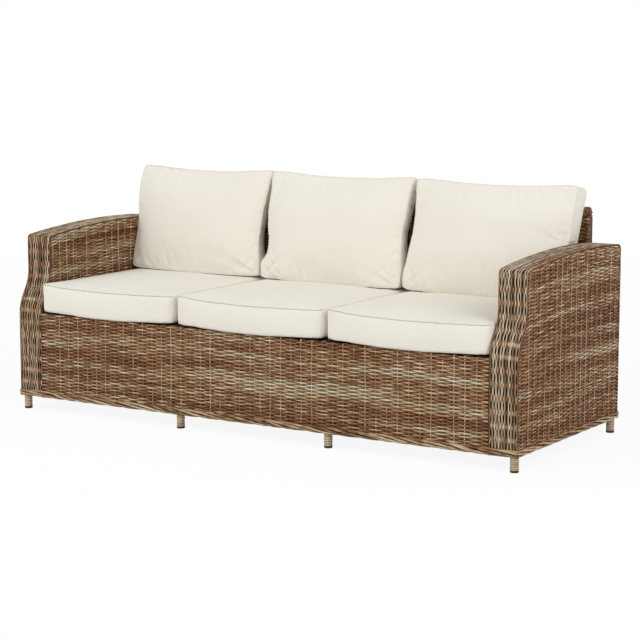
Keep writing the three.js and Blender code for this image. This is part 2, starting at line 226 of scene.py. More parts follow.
def repeat(piece: Piece, count: int, step: Spot, **settings: object) -> None:
    """Copies a piece along an even step.

    Args:
        piece: the piece.
        count: how many there are then.
        step: from one to the next.
        settings: more of the array's properties.
    """
    finish_modifier(
        piece, "ARRAY", count=count, use_relative_offset=False, use_constant_offset=True,
        constant_offset_displace=step, **settings,
    )


def round_edges(piece: Piece, width: float) -> None:
    """Rounds a piece's sharp edges."""
    finish_modifier(piece, "BEVEL", width=width, segments=3, limit_method="ANGLE", angle_limit=math.radians(50))


def joined(name: str, *pieces: Piece) -> Piece:
    """Joins pieces of closed shells into the first one, names it and tidies it."""
    select_only(*pieces)
    bpy.ops.object.join()
    return tidy_shell(named(name))


def tidy_shell(piece: Piece) -> Piece:
    """Turns the faces of closed shells outwards, shades them smooth and returns the piece."""
    with editing(piece):
        bpy.ops.mesh.normals_make_consistent(inside=False)
    bpy.ops.object.shade_smooth()
    return piece


def hand_over(
    piece: Piece, finish: "Finish", nodes: tuple[str, ...] = (), body: str = "sofa_frame"
) -> None:
    """Dresses a finished piece and ties it to the frame.

    Args:
        piece: the piece.
        finish: the finish that it gets.
        nodes: the CAD nodes that it stands for.
        body: the body that it rides on.
    """
    piece.data.materials.clear()
    piece.data.materials.append(finish.material())
    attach(piece, body)
    if nodes:
        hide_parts(*nodes)
    log.info("%s: %d faces on %s", piece.name, len(piece.data.polygons), body)


def wander(along: Array, across: Array, seed: int, length: float, width: float) -> Array:
    """A slow irregular drift, the hand in handwork.

    Args:
        along: places along the strands.
        across: places across them.
        seed: which drift.
        length: the drift's length along the strands.
        width: its length across them.

    Returns:
        The drift at each place, about -1 to 1.
    """
    rng = np.random.default_rng(seed)
    total = np.zeros_like(along)
    for _ in range(6):
        turn_along, turn_across = rng.normal(size=2)
        phase = rng.uniform(0, math.tau)
        total += np.sin(math.tau * (along * turn_along / length + across * turn_across / width) + phase)
    return total / 3


# Strands


def mark_strands(
    piece: Piece, along: Array, count: Array, across: Array, lift: Array | float = 0.0, paler: Array | float = 0.0
) -> None:
    """Writes where each point lies on its strand, which the rattan finish reads and paints light and shade from.

    Args:
        piece: the piece.
        along: metres along the strand.
        count: the strand's own number.
        across: -1 to 1 over the strand's width.
        lift: 1 where the strand lies on top, -1 where it passes behind; the finish paints the strand lighter the higher
            it lies and darker the lower, as painted light and shade.
        paler: how much paler than its neighbours it is, 0 for not at all. Mostly a random tone; on the arms' faces,
            their edge strands and the legs it is painted light and shade.
    """
    for name, columns in (("strand", (along, count, across)), ("relief", (lift, paler, across * 0))):
        layer = piece.data.attributes.new(name, "FLOAT_VECTOR", "POINT")
        layer.data.foreach_set("vector", rows_of(*columns).astype(np.float32).reshape(-1))


def sheet_of(name: str, columns: int, rows: int, place: Placing) -> Piece:
    """Makes a thin closed sheet of lining from a grid.

    Args:
        name: the piece's name.
        columns: how many parts it has along.
        rows: how many across.
        place: turns shares 0 to 1 along and across into points of the sofa.

    Returns:
        The sheet.
    """
    grid = bpy.ops.mesh.primitive_grid_add
    piece = added(name, grid, x_subdivisions=columns, y_subdivisions=rows, size=1, location=(0, 0, 0))
    along, across, _ = points_of(piece).T + 0.5
    move_points(piece, place(along, across))
    finish_modifier(piece, "SOLIDIFY", thickness=sizes.lining, offset=0)
    return tidy_shell(piece)


def straight_strands(
    name: str, step: float, steps: int, width: float, depth: float, count: int = 1, pitch: float = 1.0
) -> tuple[Piece, Array, Array, Array, Array]:
    """Lays equal straight half-round strands side by side, along X, round side to +Y.

    Args:
        name: the piece's name.
        step: the length of one segment.
        steps: how many segments each strand has.
        width: the strand's width along Z.
        depth: its thickness along Y.
        count: how many strands.
        pitch: their spacing along Z.

    Returns:
        The strands as one object of closed shells. For each point how far along and out it lies, the number
        of its strand from 0, and where it lies across that strand, -1 to 1.
    """
    piece = added(name, bpy.ops.mesh.primitive_cube_add, size=1, location=(0, 0, 0))
    with editing(piece, lambda normal: abs(normal.x) > 0.9):
        bpy.ops.mesh.select_mode(type="FACE")
        bpy.ops.mesh.delete(type="ONLY_FACE")
    with editing(piece, lambda normal: normal.y > 0.9):
        bpy.ops.transform.resize(value=(1, 1, 0.52))
    move_points(piece, (points_of(piece) + [0.5, 0, 0]) * [step, depth, width])
    repeat(piece, steps, (step, 0, 0), use_merge_vertices=True, merge_threshold=step / 50)
    with editing(piece):
        bpy.ops.mesh.fill_holes(sides=4)
    if count > 1:
        repeat(piece, count, (0, 0, pitch))
    along, out, side = points_of(piece).T
    number = np.rint(side / pitch)
    return piece, along, out, number, (side - number * pitch) / (width / 2)


@dataclass
class PlainWeave:
    """Half-round strands woven over and under upright stakes. It is made flat, strands along X."""

    length: float
    height: float
    bays: int
    pitch: float = 0.00605
    strand_width: float = 0.0057
    strand_depth: float = 0.0026
    stake_width: float = 0.0054
    stake_rise: float = 0.0003
    wave: float = 0.0023
    steps_per_bay: int = 4
    unevenness: float = 0.0013
    fullness: float = 0.11  # how much rows differ in width
    row_shift: float = 0.0005  # how far rows stray as a whole
    paler: float = 0.0  # how far this panel's strands are from the usual tone; the arms use it to paint light and shade on their faces
    seed: int = 1

    def build(self, name: str, place: Placing) -> Piece:
        """Makes the panel, puts it where place says and marks its strands."""
        return joined(name, self.wefts(name, place), self.stakes(f"{name}_stakes", place))

    def wefts(self, name: str, place: Placing) -> Piece:
        """Makes the rows of strands that run along the panel."""
        bay = self.length / self.bays
        rows = round(self.height / self.pitch)
        pitch = self.height / rows
        piece, along, out, row, across = straight_strands(
            name, bay / self.steps_per_bay, self.bays * self.steps_per_bay, self.strand_width, self.strand_depth,
            rows, pitch,
        )
        up = row * pitch + across * (self.strand_width / 2)
        rng = np.random.default_rng(self.seed)
        fuller = rng.normal(0, self.fullness, rows)[row.astype(int)]
        offset = rng.normal(0, self.row_shift, rows)[row.astype(int)]
        turn = np.cos(np.pi * (along / bay + row % 2))
        uneven = 1 + 0.16 * wander(along, up, self.seed + 1, 0.11, 0.02)
        # a strand lies nearly flat over a stake and passes quickly between two
        swing = np.sign(turn) * np.abs(turn) ** 0.7 * uneven
        drift = wander(along, up, self.seed + 2, 0.30, 0.10) * self.unevenness
        # and it spreads a little where it lies on top
        height = pitch * (row + 0.5) + across * self.strand_width / 2 * (1 + fuller + 0.07 * turn) + drift + offset
        # swing is also the lift: the finish paints a strand darker where it passes behind a stake and lighter where it
        # lies over it
        mark_strands(piece, along + self.seed * 1.7, row + self.seed * 211, across, swing, self.paler)
        move_points(piece, place(along, out + self.wave * swing, np.clip(height, 0, self.height)))
        return piece

    def stakes(self, name: str, place: Placing) -> Piece:
        """Makes the upright stakes that the strands pass over, one between every two bays."""
        bay = self.length / self.bays
        count = self.bays - 1
        steps = max(4, round(self.height / 0.025))
        piece, up, out, stake, across = straight_strands(
            name, self.height / steps, steps, self.stake_width, self.strand_depth, count, bay
        )
        side = stake * bay + across * (self.stake_width / 2)
        drift = wander(side, up, self.seed + 5, 0.2, 0.35) * self.unevenness * 1.6
        along = (stake + 1) * bay + across * self.stake_width / 2 + drift
        rng = np.random.default_rng(self.seed + 9)
        paler = rng.choice([0.0, 0.04, 0.08], count, p=[0.3, 0.35, 0.35])[stake.astype(int)]
        # lift 0.5 paints the stakes halfway between the light of strands on top and the shade of strands behind
        mark_strands(piece, up + stake * 0.61, stake * 3.1 + 101.5 + self.seed * 211, across, 0.5, paler)
        move_points(piece, place(along, out + self.stake_rise, up))
        return piece


@dataclass
class Openwork:
    """Pairs of lengthwise strands twined over cross rods, bowed apart between them round slim openings."""

    length: float
    width: float
    pairs: int = 9
    rod_spacing: float = 0.044
    strand_width: float = 0.0034
    strand_depth: float = 0.0022
    rod_width: float = 0.0185
    rod_sunk: float = 0.0012
    wave: float = 0.0012
    bow: float = 0.0042
    end: float = 0.010  # how far the band stops short of its two ends, which the bottom rim covers
    steps_per_bay: int = 10
    seed: int = 40

    def build(self, name: str, place: Placing) -> Piece:
        """Makes the band, puts it where place says and marks its strands."""
        bays = round(self.length / self.rod_spacing)
        bay = self.length / bays

        def short(along: Array, out: Array, across: Array) -> Array:
            """Draws the band in from its ends and places it."""
            return place(self.end + along * (1 - 2 * self.end / self.length), out, across)

        return joined(name, self.twined(name, bays, bay, short), self.rods(f"{name}_rods", bays, bay, short))

    def twined(self, name: str, bays: int, bay: float, place: Placing) -> Piece:
        """Makes the pairs along the band. A pair meets at every rod and touches the next pair between rods."""
        count = 2 * self.pairs
        strands, along, out, row, across = straight_strands(
            name, bay / self.steps_per_bay, bays * self.steps_per_bay, self.strand_width, self.strand_depth, count
        )
        pair = row // 2
        sign = 1 - 2 * (row % 2)
        shift = wander(pair * 0.21, pair * 0.13, self.seed + 4, 1.0, 1.0) * 0.04
        turn = np.pi * (along / bay + shift)
        bow = 0.24 + 0.76 * np.abs(np.sin(turn)) ** 0.9
        uneven = 1 + 0.10 * wander(along, pair, self.seed + 2, 0.09, 2.0)
        crossing = np.cos(turn) ** 3
        middle = self.width * ((pair + 0.5) / self.pairs - 0.5)
        middle += wander(along, pair, self.seed + 1, 0.16, 3.0) * 0.0005
        side = middle + sign * bow * self.bow * uneven + across * self.strand_width / 2
        # lift paints the pair lighter at the crossings, most where a strand lies on top, and darker between them:
        # painted light and shade
        lift = 0.25 + 0.6 * np.abs(crossing) + 0.15 * sign * crossing
        paler = np.random.default_rng(self.seed).normal(0, 0.022, count)[row.astype(int)]
        mark_strands(strands, along + row * 0.29, row * 1.7 + self.seed * 17, across, lift, paler)
        move_points(strands, place(along, out + sign * crossing * self.wave, side))
        return strands

    def rods(self, name: str, bays: int, bay: float, place: Placing) -> Piece:
        """Makes the cross rods, each a flat pair of strands behind the crossings."""
        rods, side, out, rod, across = straight_strands(
            name, self.width / 8, 8, self.rod_width, self.strand_depth, bays + 1, bay
        )
        drift = wander(side, rod * 0.4, self.seed + 3, 0.2, 1.0) * 0.0012
        along = np.clip(rod * bay + across * self.rod_width / 2 + drift, 0, self.length)
        # lift 0.25 paints shade on the rods, which lie sunk behind the crossings; paler -0.085 makes them darker
        mark_strands(rods, side + rod * 0.4, rod * 2.3 + 300.5, across, 0.25, -0.085)
        move_points(rods, place(along, out - self.rod_sunk, side - self.width / 2))
        return rods


@dataclass
class Twist:
    """Flat strands twisted round each other in long turns along a rim."""

    length: float
    strand_width: float = 0.0080
    strand_depth: float = 0.0036
    half_height: float = 0.0087
    half_depth: float = 0.0026
    turn_length: float = 0.340
    strands: int = 5
    step: float = 0.0075
    seed: int = 70

    def build(self, name: str, place: Placing) -> Piece:
        """Makes the twist, puts it where place says and marks its strands."""
        steps = round(self.length / self.step)
        piece, along, out, row, across = straight_strands(
            name, self.length / steps, steps, self.strand_width, self.strand_depth, self.strands
        )
        uneven = wander(along, row, self.seed, 0.5, 9.0) * 0.4
        turn = math.tau * (along / self.turn_length + row / self.strands) + uneven
        side = np.cos(turn) * self.half_height + across * self.strand_width / 2
        # lift paints a strand darker where it turns behind the others and lighter where it comes in front
        mark_strands(piece, along + row * 0.7, row * 2.1 + self.seed, across, np.sin(turn))
        move_points(piece, place(along, out + np.sin(turn) * self.half_depth, side))
        return tidy_shell(piece)


@dataclass
class Coil:
    """Strand wound ring by ring round a bar or a leg."""

    radius: float
    strand_width: float
    rings: int
    pitch: float
    sides: int = 20
    # lift and paler feed the rattan finish's painted light and shade, and its tone
    lift: float = 0.0
    paler: float = 0.0
    seed: int = 90

    def build(self, name: str, place: Placing) -> Piece:
        """Winds the rings round Z, the first one at zero, and puts them where place says."""
        thick = self.strand_width * 0.34
        piece = added(
            name, bpy.ops.mesh.primitive_torus_add, major_segments=self.sides, minor_segments=5,
            major_radius=self.radius - thick, minor_radius=thick,
        )
        points = points_of(piece)
        points[:, 2] *= self.strand_width / 2 / thick
        points[:, 2] += points[:, 0] * (self.pitch / (4 * self.radius))
        move_points(piece, points)
        repeat(piece, self.rings, (0, 0, self.pitch))
        x, y, z = points_of(piece).T
        ring = np.arange(len(z)) // (len(z) // self.rings)
        swell = 1 + np.random.default_rng(self.seed).normal(0, 0.012, self.rings)[ring]
        across = (z - ring * self.pitch) / (self.strand_width / 2)
        along = (np.arctan2(y, x) + ring * math.tau) * self.radius
        mark_strands(piece, along, ring // 9 + self.seed * 3.0, across, self.lift, self.paler)
        rounding = self.end_rounding(z)
        move_points(piece, place(x * swell * rounding, y * swell * rounding, z))
        return tidy_shell(piece)

    def end_rounding(self, place: Array) -> Array | float:
        """How much of the full radius the rings keep near the two ends."""
        return 1.0


@dataclass
class RoundedCoil(Coil):
    """A coil whose rings shrink over both ends."""

    rounding: float = 0.010

    def end_rounding(self, place: Array) -> Array | float:
        """How much of the full radius the rings keep near the two ends."""
        length = (self.rings - 1) * self.pitch
        near = np.clip(np.minimum(place, length - place) / self.rounding, 0, 1)
        return 0.12 + 0.88 * np.sqrt(1 - (1 - near) ** 2)


# Finishes


def add_node(
    tree: bpy.types.NodeTree, kind: str, inputs: dict[str | int, object] | tuple[object, ...] = (), **settings: object
) -> bpy.types.bpy_prop_collection:
    """Adds a shader node with its settings, fixed inputs and links.

    Args:
        tree: the node tree.
        kind: the node's type, without the ShaderNode that all begin with.
        inputs: values, or sockets that feed the node, in the order of its inputs or by their names or numbers.
        settings: its properties by name.

    Returns:
        The node's outputs.
    """
    node = tree.nodes.new(f"ShaderNode{kind}")
    for key, value in settings.items():
        setattr(node, key, value)
    for key, value in inputs.items() if isinstance(inputs, dict) else enumerate(inputs):
        if isinstance(value, bpy.types.NodeSocket):
            tree.links.new(value, node.inputs[key])
        else:
            node.inputs[key].default_value = value
    return node.outputs


def shows_plainly(tree: bpy.types.NodeTree) -> bpy.types.NodeSocket:
    """Returns 1 for rays that only look at the studio and 0 for those that light the sofa with it."""
    path = add_node(tree, "LightPath")
    seen = add_node(tree, "Math", (path["Is Camera Ray"], path["Is Glossy Ray"]), operation="ADD")[0]
    return add_node(tree, "Math", (seen, path["Is Transmission Ray"]), operation="ADD", use_clamp=True)[0]


@dataclass(frozen=True)
class Finish:
    """A surface finish, made once and shared by the pieces that have it."""

    name: str
    roughness: float

    def material(self) -> bpy.types.Material:
        """Returns the finish's material, made on first use."""
        made = bpy.data.materials.get(self.name)
        if not made:
            made = bpy.data.materials.new(self.name)
            made.use_nodes = True
            made.node_tree.nodes.clear()
            add_node(made.node_tree, "OutputMaterial", (self.dress(made.node_tree),))
        return made

    def dress(self, tree: bpy.types.NodeTree) -> bpy.types.NodeSocket:
        """Fills the material's node tree and returns the shader that the surface shows."""
        raise NotImplementedError


@dataclass(frozen=True)
class RattanFinish(Finish):
    """Extruded polyethylene rattan strand, half-round.

    Each strand's colour runs from red-brown to greyed tan along its length, and fine grooves run lengthways.
    Light and shade are painted into the colour: the sides are painted darker where strands meet, as are the grooves'
    hollows and strands that pass behind, and strands on top are painted lighter.
    """

    tones: tuple[str, ...] = ("744A2E", "8E603E", "A67B55", "BA9E7A", "CEBDA1")
    places: tuple[float, ...] = (0.39, 0.455, 0.505, 0.555, 0.63)
    shares: tuple[float, ...] = (0.38, 0.34, 0.28)  # of the slow zones, of each strand's own tone, of flecks
    scales: tuple[Spot, ...] = ((0.8, 0.13, 0.0), (2.4, 0.87, 0.0), (26.0, 5.31, 0.0))
    groove_scale: Spot = (9.0, 3.7, 2.6)
    groove: float = 0.25
    side_light: float = 0.32  # light left on a strand's sides, where the next strand shades it

    def dress(self, tree: bpy.types.NodeTree) -> bpy.types.NodeSocket:
        """Fills the material's node tree and returns the shader that the surface shows."""
        mark, relief = (
            add_node(tree, "Attribute", attribute_name=name)["Vector"] for name in ("strand", "relief")
        )
        across = add_node(tree, "SeparateXYZ", (mark,))["Z"]
        relief, tone, _ = add_node(tree, "SeparateXYZ", (relief,))
        for share, scale in zip(self.shares, self.scales):
            place = add_node(tree, "VectorMath", (mark, scale), operation="MULTIPLY")[0]
            noise = {"Vector": place, "Scale": 1.0, "Detail": 1.5, "Roughness": 0.55}
            noise = add_node(tree, "TexNoise", noise, noise_dimensions="2D")["Fac"]
            tone = add_node(tree, "Math", (noise, share, tone), operation="MULTIPLY_ADD")[0]
        ramp = add_node(tree, "ValToRGB", (tone,))[0]
        stops = ramp.node.color_ramp.elements
        while len(stops) < len(self.tones):
            stops.new(0.5)
        for stop, tone_code, place in zip(stops, self.tones, self.places):
            stop.position = place
            stop.color = srgb(tone_code)
        groove = add_node(tree, "VectorMath", (mark, self.groove_scale), operation="MULTIPLY")[0]
        groove = {"Vector": groove, "Scale": 1.0, "Detail": 2.0, "Roughness": 0.5}
        groove = add_node(tree, "TexNoise", groove, noise_dimensions="3D")["Fac"]
        # painted shade on the strand's sides, where the next strand shades it, and painted light on its middle
        edge = add_node(tree, "Math", (across,), operation="ABSOLUTE")[0]
        edge = add_node(tree, "Math", (edge, 3.0), operation="POWER")[0]
        light = add_node(tree, "MapRange", (edge, 0.0, 1.0, 1.06, self.side_light))[0]
        # painted shade on strands that pass behind and in the grooves' hollows, painted light on strands that lie on
        # top and on the grooves' ridges
        for source in ((relief, -1.0, 1.0, 0.58, 1.12), (groove, 0.3, 0.7, 0.82, 1.12)):
            part = add_node(tree, "MapRange", source)[0]
            light = add_node(tree, "Math", (light, part), operation="MULTIPLY")[0]
        gloss = (groove, 0.3, 0.7, self.roughness + 0.1, self.roughness - 0.06)
        return add_node(tree, "BsdfPrincipled", {
            "Base Color": add_node(tree, "VectorMath", {0: ramp, "Scale": light}, operation="SCALE")[0],
            "Roughness": add_node(tree, "MapRange", gloss)[0],
            "IOR": 1.5,
            # the painted shade also turns the reflection down on strands that pass behind
            "Specular IOR Level": add_node(tree, "MapRange", (relief, -1.0, 1.0, 0.0, 0.4))[0],
            "Normal": add_node(tree, "Bump", {"Strength": self.groove, "Distance": 0.0005, "Height": groove})[0],
        })[0]


@dataclass(frozen=True)
class CanvasFinish(Finish):
    """Solution-dyed acrylic canvas: a matt plain weave, off-white, with faint slubs."""

    colour: str = "EDE9DE"
    shaded: str = "E5E0D4"
    thread: float = 0.0026  # the real one is near 0.8 mm; drawn coarser, as wide as it can show

    def dress(self, tree: bpy.types.NodeTree) -> bpy.types.NodeSocket:
        """Fills the material's node tree and returns the shader that the surface shows."""
        spot = add_node(tree, "TexCoord")["Object"]
        wave = {
            "Vector": spot, "Scale": math.pi / 10 / self.thread, "Distortion": 0.6, "Detail": 1.0, "Detail Scale": 0.4
        }
        weave = 0.0
        for direction in "XYZ":
            thread = add_node(tree, "TexWave", wave, bands_direction=direction)["Fac"]
            weave = add_node(tree, "Math", (thread, weave), operation="ADD")[0]
        slub, cloud = (
            add_node(tree, "TexNoise", {"Vector": spot, "Scale": scale, "Detail": 2.0})["Fac"] for scale in (260.0, 3.0)
        )
        share = add_node(tree, "Mix", {0: 0.65, 2: cloud, 3: slub}, data_type="FLOAT")[0]
        share = add_node(tree, "MapRange", (share, 0.35, 0.65))[0]
        colours = {0: share, 6: srgb(self.shaded), 7: srgb(self.colour)}
        return add_node(tree, "BsdfPrincipled", {
            "Base Color": add_node(tree, "Mix", colours, data_type="RGBA")[2],
            "Roughness": self.roughness, "IOR": 1.45, "Sheen Weight": 0.12, "Sheen Roughness": 0.5,
            "Normal": add_node(tree, "Bump", {"Strength": 0.12, "Distance": 0.0004, "Height": weave})[0],
        })[0]


@dataclass(frozen=True)
class PlainFinish(Finish):
    """A solid material with a fine grain: powder-coated aluminium, rubber or nylon."""

    colour: str
    darker: str
    grain: float
    relief: float

    def dress(self, tree: bpy.types.NodeTree) -> bpy.types.NodeSocket:
        """Fills the material's node tree and returns the shader that the surface shows."""
        spot = add_node(tree, "TexCoord")["Object"]
        grain = add_node(tree, "TexNoise", {"Vector": spot, "Scale": self.grain, "Detail": 2.0})["Fac"]
        wear = add_node(tree, "TexNoise", {"Vector": spot, "Scale": 14.0, "Detail": 3.0})["Fac"]
        share = add_node(tree, "MapRange", (wear, 0.35, 0.65))[0]
        colours = {0: share, 6: srgb(self.darker), 7: srgb(self.colour)}
        gloss = (wear, 0.3, 0.7, self.roughness - 0.06, self.roughness + 0.1)
        return add_node(tree, "BsdfPrincipled", {
            "Base Color": add_node(tree, "Mix", colours, data_type="RGBA")[2],
            "Roughness": add_node(tree, "MapRange", gloss)[0],
            "Normal": add_node(tree, "Bump", {"Strength": self.relief, "Distance": 0.0003, "Height": grain})[0],
        })[0]


@dataclass(frozen=True)
class StudioFloorFinish(Finish):
    """The studio's white ground: plain white to the eye, with the sofa's shadow left on it."""

    clean: float = 0.91
    plain_from: float = 2.6  # how far off the shadow may still show, and where the ground is plain white
    plain_at: float = 6.0

    def dress(self, tree: bpy.types.NodeTree) -> bpy.types.NodeSocket:
        """Fills the material's node tree and returns the shader that the surface shows."""
        spot = add_node(tree, "TexCoord")["Object"]
        away = add_node(tree, "VectorMath", (spot,), operation="LENGTH")["Value"]
        clean = (away, self.plain_from, self.plain_at, self.clean, 1.0)
        clean = add_node(tree, "MapRange", clean, interpolation_type="SMOOTHSTEP")[0]
        share = add_node(tree, "Math", (shows_plainly(tree), clean), operation="MULTIPLY")[0]
        grit = add_node(tree, "TexNoise", {"Scale": 3.0, "Detail": 2.0})["Fac"]
        tint = add_node(tree, "Mix", {0: grit, 6: srgb("F7F7F6"), 7: srgb("FBFBFA")}, data_type="RGBA")[2]
        ground = add_node(tree, "BsdfDiffuse", {"Roughness": self.roughness, "Color": tint})[0]
        white = add_node(tree, "Emission", {"Color": (1.0, 1.0, 1.0, 1.0), "Strength": 1.0})[0]
        return add_node(tree, "MixShader", (share, ground, white))[0]


WEAVE = RattanFinish("woven_rattan", 0.5)
BAND = RattanFinish(
    "band_rattan", 0.5, ("74492B", "947153", "B49A7C", "CFBEA2", "E4D8C2"), shares=(0.25, 0.45, 0.30), side_light=0.34
)
RIM = RattanFinish("rim_rattan", 0.5, ("64452F", "86623F", "A08059", "B49B78", "C8B594"), shares=(0.25, 0.45, 0.30))
DECK = RattanFinish("deck_rattan", 0.55, ("33221A", "4E3526", "664833", "7C5B42", "92735A"))
CANVAS = CanvasFinish("cushion_canvas", 0.85)
# darker than the cover: painted shade along the seat cushions' welted seams
SHADED_SEAM = CanvasFinish("seam_canvas", 0.85, "D0CABB", "BFB8A7", 0.0016)
PIPING = CanvasFinish("piping_canvas", 0.85, "E9E4D8", "DED8C9", 0.0016)
TUBE = PlainFinish("coated_aluminium", 0.42, "5C4636", "4A382B", 700.0, 0.12)
RUBBER = PlainFinish("foot_rubber", 0.7, "2C2724", "221E1C", 500.0, 0.3)
NYLON = PlainFinish("zip_nylon", 0.5, "D9D3C4", "C9C2B0", 400.0, 0.1)
# near-black sheets behind the weave: painted shade for the inside of the sofa, where its gaps show it
SHADE_LINING = PlainFinish("dark_lining", 0.9, "2A1608", "1C0E05", 300.0, 0.2)
GROUND = StudioFloorFinish("studio_ground", 0.5)


# Sub-assemblies of the frame


@dataclass
class ArmOutline:
    """The arm seen from the side, from the front foot over the top to the rear foot."""

    front_set_back: float = 0.054
    curve_bottom: float = 0.345
    curve_top: float = 0.505
    pull_share: float = 0.42
    peak: float = 0.656
    peak_back: float = 0.120
    front_top_height: float = 0.627
    front_corner: float = 0.013
    rear_corner: float = 0.026
    half_step: float = 0.004  # over which its direction is taken
    upper_from: float = 0.60
    front_to: float = -0.25
    run: Array = field(init=False)
    lengths: Array = field(init=False)

    def __post_init__(self) -> None:
        """Draws the outline once, densely."""
        half = sizes.half_depth
        front_top = self.front_set_back - half
        start, end = front_top + self.front_corner, half - self.rear_corner
        middle = (start + end) / 2
        slope = -2 * self.sharpness * (start - self.peak_back)
        control = self.arch(start) + slope * (middle - start)
        pull = self.pull_share * (self.curve_top - self.curve_bottom)
        front_foot, front_bend = (-half, sizes.floor_gap), (-half, self.curve_bottom)
        front_rise, front_peak = (front_top, self.curve_top), (front_top, self.arch(front_top))
        front_edge = (front_top, self.arch(front_top) - self.front_corner)
        arch_start, arch_end = (start, self.arch(start)), (end, self.arch(end))
        rear_edge = (half, self.arch(half) - self.rear_corner)
        parts = [
            self.curve(24, front_foot, front_bend),
            self.curve(
                20, front_bend, (-half, self.curve_bottom + pull), (front_top, self.curve_top - pull), front_rise
            ),
            self.curve(8, front_rise, front_edge),
            self.curve(8, front_edge, front_peak, arch_start),
            self.curve(40, arch_start, (middle, control), arch_end),
            self.curve(8, arch_end, (half, self.arch(half)), rear_edge),
            self.curve(40, rear_edge, (half, sizes.floor_gap)),
        ]
        self.run = np.concatenate([parts[0][:1]] + [part[1:] for part in parts])
        steps = np.linalg.norm(np.diff(self.run, axis=0), axis=1)
        self.lengths = np.concatenate([[0.0], np.cumsum(steps)])

    @property
    def sharpness(self) -> float:
        """How fast the arch falls away from its highest point."""
        reach = sizes.half_depth - self.front_set_back + self.peak_back
        return (self.peak - self.front_top_height) / reach**2

    def arch(self, y: float) -> float:
        """Height of the arch over a place in the arm's depth."""
        return self.peak - self.sharpness * (y - self.peak_back) ** 2

    @staticmethod
    def curve(steps: int, *handles: tuple[float, float]) -> Array:
        """Points along a straight, quadratic or cubic stretch.

        Args:
            steps: how many parts it is cut into.
            handles: two, three or four control points.

        Returns:
            The points, both ends included.
        """
        t = np.linspace(0, 1, steps + 1)[:, None]
        degree = len(handles) - 1
        total = np.zeros((steps + 1, 2))
        for i, handle in enumerate(handles):
            total += math.comb(degree, i) * t**i * (1 - t) ** (degree - i) * np.array(handle)
        return total

    @property
    def length(self) -> float:
        """The whole length of the outline."""
        return float(self.lengths[-1])

    def on_run(self, along: Array) -> Array:
        """Points (y, z) on the outline at metres from the front foot."""
        return np.stack([np.interp(along, self.lengths, self.run[:, i]) for i in (0, 1)], 1)

    def at(self, along: Array, out: Array | float = 0.0) -> Array:
        """Places on or beside the outline.

        Args:
            along: metres from the front foot.
            out: metres straight out of the outline.

        Returns:
            Points (y, z).
        """
        along = np.clip(along, 0, self.length)
        ahead, behind = np.minimum(along + self.half_step, self.length), np.maximum(along - self.half_step, 0)
        step = self.on_run(ahead) - self.on_run(behind)
        step /= np.linalg.norm(step, axis=1)[:, None]
        outward = np.stack([-step[:, 1], step[:, 0]], 1)
        return self.on_run(along) + outward * np.broadcast_to(out, along.shape)[:, None]

    def level_with(self, axis: int, at: Array, distance: float) -> Array:
        """Follows the inset outline's upper side or its front.

        Args:
            axis: 0 for the heights of its upper side, 1 for the places of its front.
            at: places in the depth, or heights.
            distance: how far it is moved in.

        Returns:
            The height or the place in the depth at each.
        """
        inner = self.at(self.lengths, -distance)
        part = inner[inner[:, 1] > self.upper_from] if axis == 0 else inner[inner[:, 0] < self.front_to]
        order = np.argsort(part[:, axis])
        return np.interp(at, part[order, axis], part[order, 1 - axis])


